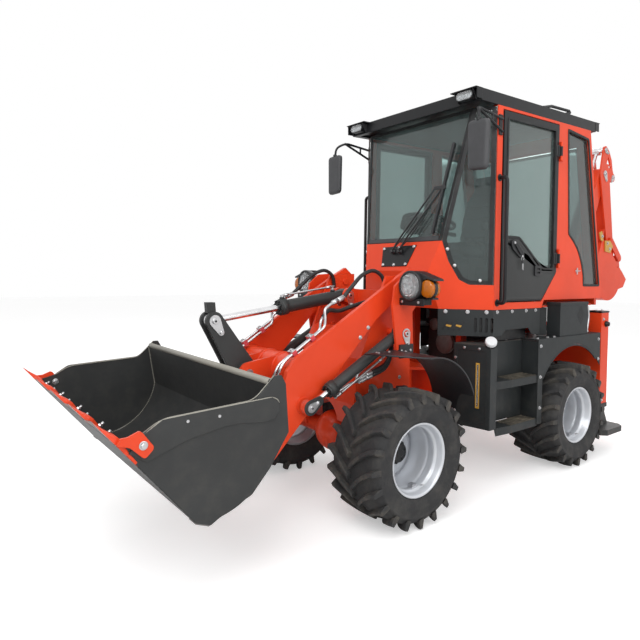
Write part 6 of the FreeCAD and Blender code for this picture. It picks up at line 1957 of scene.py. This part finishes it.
# ---- rear machine ---------------------------------------------------------------------------------
@dataclass
class RearMachine(Group):
    """Apron, tanks, steps, arches, battery box and stabiliser columns."""

    side_y: float = 641.0
    tank_front: tuple[Flat, Flat] = ((1066.0, 445.0), (1028.0, 720.0))
    fender_face: float = 726.4
    column: tuple[float, float, float, float] = (-618.0, -496.0, 570.0, 690.0)

    def build(self) -> None:
        """Build everything on the rear frame."""
        self.apron()
        self.tanks()
        self.steps()
        self.fender_trim()
        self.battery()
        self.columns()
        self.engine()

    def on_apron(self, t: float, proud: float, z: float) -> Vector:
        """Point on the apron's slanting front panel, t from the cab's side to its nose."""
        start, end = Vector((905.0, 641.0)), Vector((1151.0, 371.0))
        run = (end - start).normalized()
        spot = start.lerp(end, t) + Vector((-run.y, run.x)) * proud
        return at(spot.x, spot.y, z)

    def apron(self) -> None:
        """Screws, the louvres of the front panel as dark patches of painted shade with the gold parts behind, and a
        dark sheet of painted shade behind the panel.
        """
        screws, dark, gold = Form("apron_screws"), Form("apron_louvres"), Form("apron_filter")
        spots = []
        for side, way in OUTWARD:
            flip = Vector((1, side, 1))
            spots += [(at(x, side * self.side_y, 1190), way) for x in (860, 690, 520, 400)]
            out = (self.on_apron(0.5, 10, 0) - self.on_apron(0.5, 0, 0)).normalized() * flip
            spots += [(self.on_apron(t, 0.3, 1188) * flip, out) for t in (0.12, 0.46, 0.86)]
            # painted shade: dark slot patches stand in for the shade inside the louvre openings
            for k in range(4):
                t = 0.5 + 0.1 * k
                slot = [self.on_apron(t, 0.35, 1120), self.on_apron(t + 0.035, 0.35, 1126),
                        self.on_apron(t + 0.135, 0.35, 1068), self.on_apron(t + 0.1, 0.35, 1060)]
                dark.prism(over(slot, flip), out * 0.0012, self.finishes["seal"])
            for t in (0.56, 0.74):
                mark = [self.on_apron(t, 1.4, 1096), self.on_apron(t + 0.1, 1.4, 1102),
                        self.on_apron(t + 0.11, 1.4, 1090), self.on_apron(t + 0.02, 1.4, 1082)]
                gold.prism(over(mark, flip), out * 0.0008, self.finishes["gold"])
            # painted shade: a dark sheet 12 mm behind the panel stands in for the shade there
            back = [self.on_apron(0.02, -12, 1044), self.on_apron(0.5, -12, 1044), self.on_apron(0.5, -12, 1156),
                    self.on_apron(0.02, -12, 1156)]
            dark.prism(over(back, flip), out * -0.003, self.finishes["seal"])
            fold = [at(252, side * 560, 992), at(190, side * 606, 992), at(190, side * 606, 1203),
                    at(252, side * 560, 1203)]
            dark.prism(fold, Vector((-0.0018, side * -0.0024, 0)), self.finishes["graphite"])
            dark.plate([(440, 986), (830, 986), (830, 1120), (440, 1120)], (side * 585, side * 588),
                       self.finishes["seal"])
        self.heads(screws, Head.BOLT, spots)
        self.end(screws, "rear_machine", Slot.STEEL, join=False)
        self.end(dark, "rear_machine", Slot.PLASTIC)
        self.end(gold, "rear_machine", Slot.PLASTIC)

    def on_tank(self, t: float, proud: float, z: float) -> Vector:
        """Point on the tank's slanting front face, t from its inner to its outer corner."""
        start, end = (Vector(p) for p in self.tank_front)
        run = (end - start).normalized()
        spot = start.lerp(end, t) + Vector((run.y, -run.x)) * proud
        return at(spot.x, spot.y, z)

    def tanks(self) -> None:
        """Rough lid mats, front flanges, filler necks with caps and the level gauges."""
        black, white = self.finishes["tread"], self.finishes["lamp_white"]
        lid, form, metal = Form("tank_lids"), Form("tank_fittings"), Form("tank_bolts")
        plan = [(1062.0, 449.0), (1025.0, 716.0), (958.0, 716.0), (799.0, 588.0), (487.0, 588.0), (487.0, 449.0)]
        spots, flats = [], []
        for side in SIDES:
            flip = Vector((1, side, 1))
            rings = [[at(x, side * y, z) for x, y in inset(plan, shrink)]
                     for z, shrink in ((972.2, 0.0), (977.0, 0.0), (980.0, 3.0))]
            lid._faces(rings, black, False, False)
            neck = at(995, side * 690, 978)
            lean = Vector((0.5, side * 0.5, 0.7)).normalized()
            form.turned(neck, lean, [(0.034, -0.012), (0.036, 0.012), (0.040, 0.016), (0.040, 0.024)],
                        self.finishes["black"], 32)
            form.turned(neck + lean * 0.024, lean, [(0.036, 0), (0.038, 0.004), (0.038, 0.022), (0.034, 0.028),
                                                       (0.014, 0.03), (0.0, 0.0305)], white, 36)
            out = (self.on_tank(0.5, 10, 0) - self.on_tank(0.5, 0, 0)).normalized() * flip
            flange = [self.on_tank(0.02, 0.3, 430), self.on_tank(0.98, 0.3, 430), self.on_tank(0.98, 0.3, 969),
                      self.on_tank(0.02, 0.3, 969)]
            inside = [self.on_tank(0.12, 0.3, 462), self.on_tank(0.88, 0.3, 462), self.on_tank(0.88, 0.3, 937),
                      self.on_tank(0.12, 0.3, 937)]
            band(form, over(flange, flip), over(inside, flip), out * 0.002, self.finishes["graphite"])
            gauge = [self.on_tank(0.62, 0.5, 560), self.on_tank(0.72, 0.5, 560), self.on_tank(0.72, 0.5, 860),
                     self.on_tank(0.62, 0.5, 860)]
            slot = [self.on_tank(0.645, 0.5, 572), self.on_tank(0.695, 0.5, 572), self.on_tank(0.695, 0.5, 848),
                    self.on_tank(0.645, 0.5, 848)]
            band(metal, over(gauge, flip), over(slot, flip), out * 0.003, self.finishes["gold"])
            metal.prism(over(slot, flip), out * 0.0015, self.finishes["lens"])
            flats += [(self.on_tank(0.06, 2.3, z) * flip, out) for z in (520, 880)]
            flats += [(self.on_tank(t, 2.3, 953) * flip, out) for t in (0.3, 0.7)]
            spots += [(at(780, side * 575, 979.5), UPWARD), (at(640, side * 560, 979.5), UPWARD)]
        self.heads(metal, Head.BOLT, spots)
        self.heads(metal, Head.SCREW, flats)
        self.end(lid, "rear_machine", Slot.PLASTIC)
        self.end(form, "rear_machine", Slot.CHARCOAL, 0.0012)
        self.end(metal, "rear_machine", Slot.STEEL, join=False)

    def steps(self) -> None:
        """Serrated grip plates on the two treads."""
        worn = self.finishes["tread_plate"]
        form = Form("step_grips")
        for side in SIDES:
            for z in (425.0, 735.0):
                teeth = 22
                low, high = 492.0, 778.0
                pitch = (high - low) / teeth
                for y in (604.0, 640.0, 676.0, 708.0):
                    outline = [(low, z + 0.2)]
                    for k in range(teeth):
                        outline += [(low + pitch * k + 2, z + 7.5), (low + pitch * (k + 0.5), z + 2.5)]
                    outline += [(high, z + 7.5), (high, z + 0.2)]
                    form.plate(outline, (side * y, side * (y + 4)), worn)
                form.plate([(485, z + 0.2), (485, z + 1.2), (786, z + 1.2), (786, z + 0.2)],
                           (side * 598, side * 718), worn)
        self.end(form, "rear_machine", Slot.CHARCOAL)

    def fender_trim(self) -> None:
        """Folded lip round each arch and the bolts of its panel."""
        form, bolts = Form("arch_lips"), Form("arch_bolts")
        spots = []
        for side, way in OUTWARD:
            arc = [(math.radians(a), 524.0, 512.0) for a in range(36, 138, 6)]
            outer = [at(r * math.cos(a), side * 715, 400 + r * math.sin(a)) for a, r, _ in arc]
            inner = [at(r * math.cos(a), side * 715, 400 + r * math.sin(a)) for a, _, r in arc]
            form._faces([[o, i, i + way * 0.0118, o + way * 0.0118] for o, i in zip(outer, inner)],
                        self.finishes["graphite"], False, False)
            spots += [(at(x, side * self.fender_face, z), way) for x, z in ((455, 940), (455, 720), (-380, 940),
                                                                            (-380, 780), (455, 500))]
            spots += [(at(x, side * 700, 990), UPWARD) for x in (460, 330, 240)]
        self.end(form, "rear_machine", Slot.CHARCOAL, 0.0015)
        self.heads(bolts, Head.BOLT, spots)
        self.end(bolts, "rear_machine", Slot.STEEL, join=False)

    def battery(self) -> None:
        """Lid, vent holes in a diamond as dark discs of painted shade, and the latch of the battery box."""
        form, holes = Form("battery_lid"), Form("battery_vents")
        rings = [[at(x, y, z) for x, y in inset([(-219.0, 604.0), (194.0, 604.0), (194.0, 720.0), (-219.0, 720.0)],
                                                shrink)] for z, shrink in ((1222.0, 0.0), (1240.5, 0.0), (1243.0, 3.0))]
        form._faces(rings, self.finishes["graphite"], False, False)
        self.end(form, "rear_machine", Slot.CHARCOAL, 0.0015)
        # painted shade: dark discs stand in for the shade inside the vent holes
        for row in range(-4, 5):
            count = 5 - abs(row)
            for k in range(count):
                x = -113.0 + (k - (count - 1) / 2) * 25.0
                holes.boss((x, 1142.0 + row * 15.5), (716.1, 716.9), 8.0, self.finishes["seal"], 14, 0.2)
        self.end(holes, "rear_machine", Slot.PLASTIC)
        metal = Form("battery_fittings")
        zinc = self.finishes["steel"]
        metal.tube([at(-205, 700, 1204), at(-250, 700, 1190), at(-262, 700, 1120), at(-240, 700, 1030),
                    at(-250, 690, 994)], 0.009, zinc, 0.03)
        for z in (1196.0, 1010.0):
            metal.turned(at(-216, 700, z), Vector((-1, 0, 0)), [(0.016, 0), (0.016, 0.02), (0.012, 0.026)], zinc, 6,
                         False)
        self.end(metal, "rear_machine", Slot.STEEL)

    def columns(self) -> None:
        """Caps, locking knobs and guide pads of the stabiliser columns."""
        x0, x1, y0, y1 = self.column
        form, dark = Form("column_caps"), Form("column_knobs")
        black = self.finishes["black"]
        spots = []
        for side in SIDES:
            rings = [[at(x, side * y, z) for x, y in inset([(x0 - 5, y0 - 5), (x1 + 5, y0 - 5), (x1 + 5, y1 + 5),
                                                            (x0 - 5, y1 + 5)], shrink)]
                     for z, shrink in ((1143.2, 0.0), (1153.0, 0.0), (1158.0, 6.0))]
            form._faces(rings, black, False, False)
            form.block(at(x0 - 4, side * (y0 - 4), 354), at(x1 + 4, side * (y0 - 0.4), 390), black)
            form.block(at(x0 - 4, side * (y1 + 0.4), 354), at(x1 + 4, side * (y1 + 4), 390), black)
            dark.turned(at(-616, side * 640, 525), Vector((-1, 0, 0)), [(0.028, 0), (0.028, 0.01), (0.022, 0.016),
                                                                        (0.022, 0.03), (0.014, 0.034)], black, 28)
            dark.turned(at(-570, side * 690.3, 1050), OUT_LEFT * side,
                        [(0.024, 0), (0.024, 0.012), (0.018, 0.018), (0.018, 0.028), (0.01, 0.032)], black, 28)
            spots += [(at(x, side * 640, 1158), UPWARD) for x in (-600, -514)]
            spots += [(at(-530, side * 690.4, z), OUT_LEFT * side) for z in (1090, 420)]
        self.end(form, "rear_machine", Slot.BLACK, 0.002)
        self.end(dark, "rear_machine", Slot.BLACK)
        bolts = Form("column_bolts")
        self.heads(bolts, Head.BOLT, spots)
        self.end(bolts, "rear_machine", Slot.STEEL, join=False)

    def engine(self) -> None:
        """Covers, pipes and pulleys of the engine under the cab."""
        black, zinc, cast = (self.finishes[key] for key in ("black", "steel", "worn"))
        form = Form("engine_dressing")
        for side in SIDES:
            for k in range(4):
                x = -60.0 + 150.0 * k
                form.plate(soft_corners([(x, 1010), (x + 110, 1010), (x + 110, 1150), (x, 1150)], 16.0),
                           (side * 190.4, side * 204), cast)
                form.boss((x + 55.0, 1080.0), (side * 204, side * 216), 22, zinc, 24)
            form.tube([at(-90, side * 226, 1100), at(100, side * 232, 1120), at(400, side * 232, 1110),
                       at(600, side * 224, 1060)], 0.02, black, 0.06, 14)
            form.tube([at(-90, side * 218, 860), at(200, side * 226, 900), at(590, side * 218, 880)], 0.014,
                      self.finishes["hose"], 0.06, 12)
        for y, z, r in ((0.0, 900.0, 85.0), (110.0, 1050.0, 55.0), (-110.0, 1040.0, 48.0)):
            form.turned(at(620.4, y, z), FORWARD, [(r * MM, 0), (r * MM, 0.006), (r * 0.88 * MM, 0.014),
                                                   (r * MM, 0.022), (r * MM, 0.028), (r * 0.4 * MM, 0.03)], cast, 40)
        self.end(form, "rear_machine", Slot.PLASTIC, 0.002)


# ---- backhoe --------------------------------------------------------------------------------------
@dataclass
class Backhoe(Group):
    """Keepers, hoses, pipes and side cutters of the digging arm."""

    cheek: float = 92.4

    def build(self) -> None:
        """Build everything behind the swing post."""
        self.pins()
        self.hoses()
        self.cutters()

    def pins(self) -> None:
        """Keepers on each pivot of the arm."""
        plan = (("swing_post", (-880.0, 640.0), (-935.0, 668.0), 98.4, 32.0),
                ("swing_post", (-1040.0, 470.0), (-985.0, 492.0), 98.4, 30.0),
                ("dipper", (-1710.0, 2508.0), (-1735.0, 2450.0), self.cheek, 36.0),
                ("dipper", (-1880.0, 2490.0), (-1852.0, 2450.0), self.cheek, 28.0),
                ("dipper", (-1712.0, 2751.0), (-1752.0, 2728.0), self.cheek, 28.0),
                ("backhoe_boom", (-1000.0, 1400.0), (-1050.0, 1380.0), 70.4, 28.0),
                ("backhoe_boom", (-1349.0, 1373.0), (-1310.0, 1340.0), 70.4, 28.0),
                ("backhoe_bucket", (-1905.0, 1560.0), (-1940.0, 1530.0), 114.4, 30.0))
        made: dict[str, Form] = {}
        for body, big, small, y, wide in plan:
            form = made.setdefault(body, Form(body + "_keepers"))
            for side in SIDES:
                self.keeper(form, big, small, side * y, side, wide)
        for body, form in made.items():
            self.end(form, body, Slot.STEEL, join=False)

    def hoses(self) -> None:
        """Pairs of hoses and pipes clamped along the boom and the dipper."""
        hose, zinc = self.finishes["hose"], self.finishes["steel"]
        form, pipes, clamps = Form("boom_hoses"), Form("boom_pipes"), Form("boom_clamps")
        for k, y in enumerate((-46.0, -16.0, 16.0, 46.0)):
            form.tube([at(-800 - 8 * k, y, 700), at(-812, y, 800), at(-905, y, 905), at(-985, y, 1090),
                       at(-1056, y, 1260)], HOSE_R, hose, 0.09, 12)
            if abs(y) > 20:
                pipes.tube([at(-1200 - 4, y, 1700), at(-1240, y, 1776), at(-1440, y, 2172), at(-1560, y, 2400)],
                           PIPE_R, zinc, 0.05, 12)
        lean = Vector((0.87, 0, 0.48))
        for x, z in ((-1290, 1876), (-1440, 2176)):
            for y in (-46.0, 46.0):
                self.clamp(clamps, at(x, y, z), Vector((-0.45, 0, 0.89)), lean, 20.0)
        self.end(form, "backhoe_boom", Slot.PLASTIC)
        self.end(pipes, "backhoe_boom", Slot.STEEL)
        self.end(clamps, "backhoe_boom", Slot.PLASTIC, join=False)

    def cutters(self) -> None:
        """Ochre side cutters on the digging bucket, and their bolts."""
        gold = self.finishes["gold"]
        form, bolts = Form("side_cutters"), Form("side_cutter_bolts")
        plates = ([(-1593, 1811), (-1699, 1816), (-1761, 1760), (-1711, 1690), (-1601, 1700)],
                  [(-1471, 1880), (-1500, 1812), (-1552, 1800), (-1556, 1850), (-1520, 1905)])
        spots = []
        for side, way in OUTWARD:
            for plate in plates:
                form.plate(soft_corners(plate, 8.0), (side * 160.3, side * 172), gold)
            spots += [(at(x, side * 172, z), way) for x, z in ((-1640, 1785), (-1690, 1730), (-1525, 1850))]
        self.end(form, "backhoe_bucket", Slot.ORANGE, 0.002)
        self.heads(bolts, Head.NUT, spots)
        self.end(bolts, "backhoe_bucket", Slot.STEEL, join=False)


def main() -> None:
    """Build the studio, dress the solids and add the finer pieces."""
    logging.basicConfig(level=logging.INFO, format="%(message)s")
    finishes = Finishes()
    repeater = Repeater()
    Studio().build()
    Dresser(finishes).build()
    for group in (Wheels, Cab, Doors, Interior, Hydraulics, Loader, Bucket, FrontMachine, RearMachine, Backhoe):
        group(finishes, repeater).build()


if __name__ == "__main__":
    main()
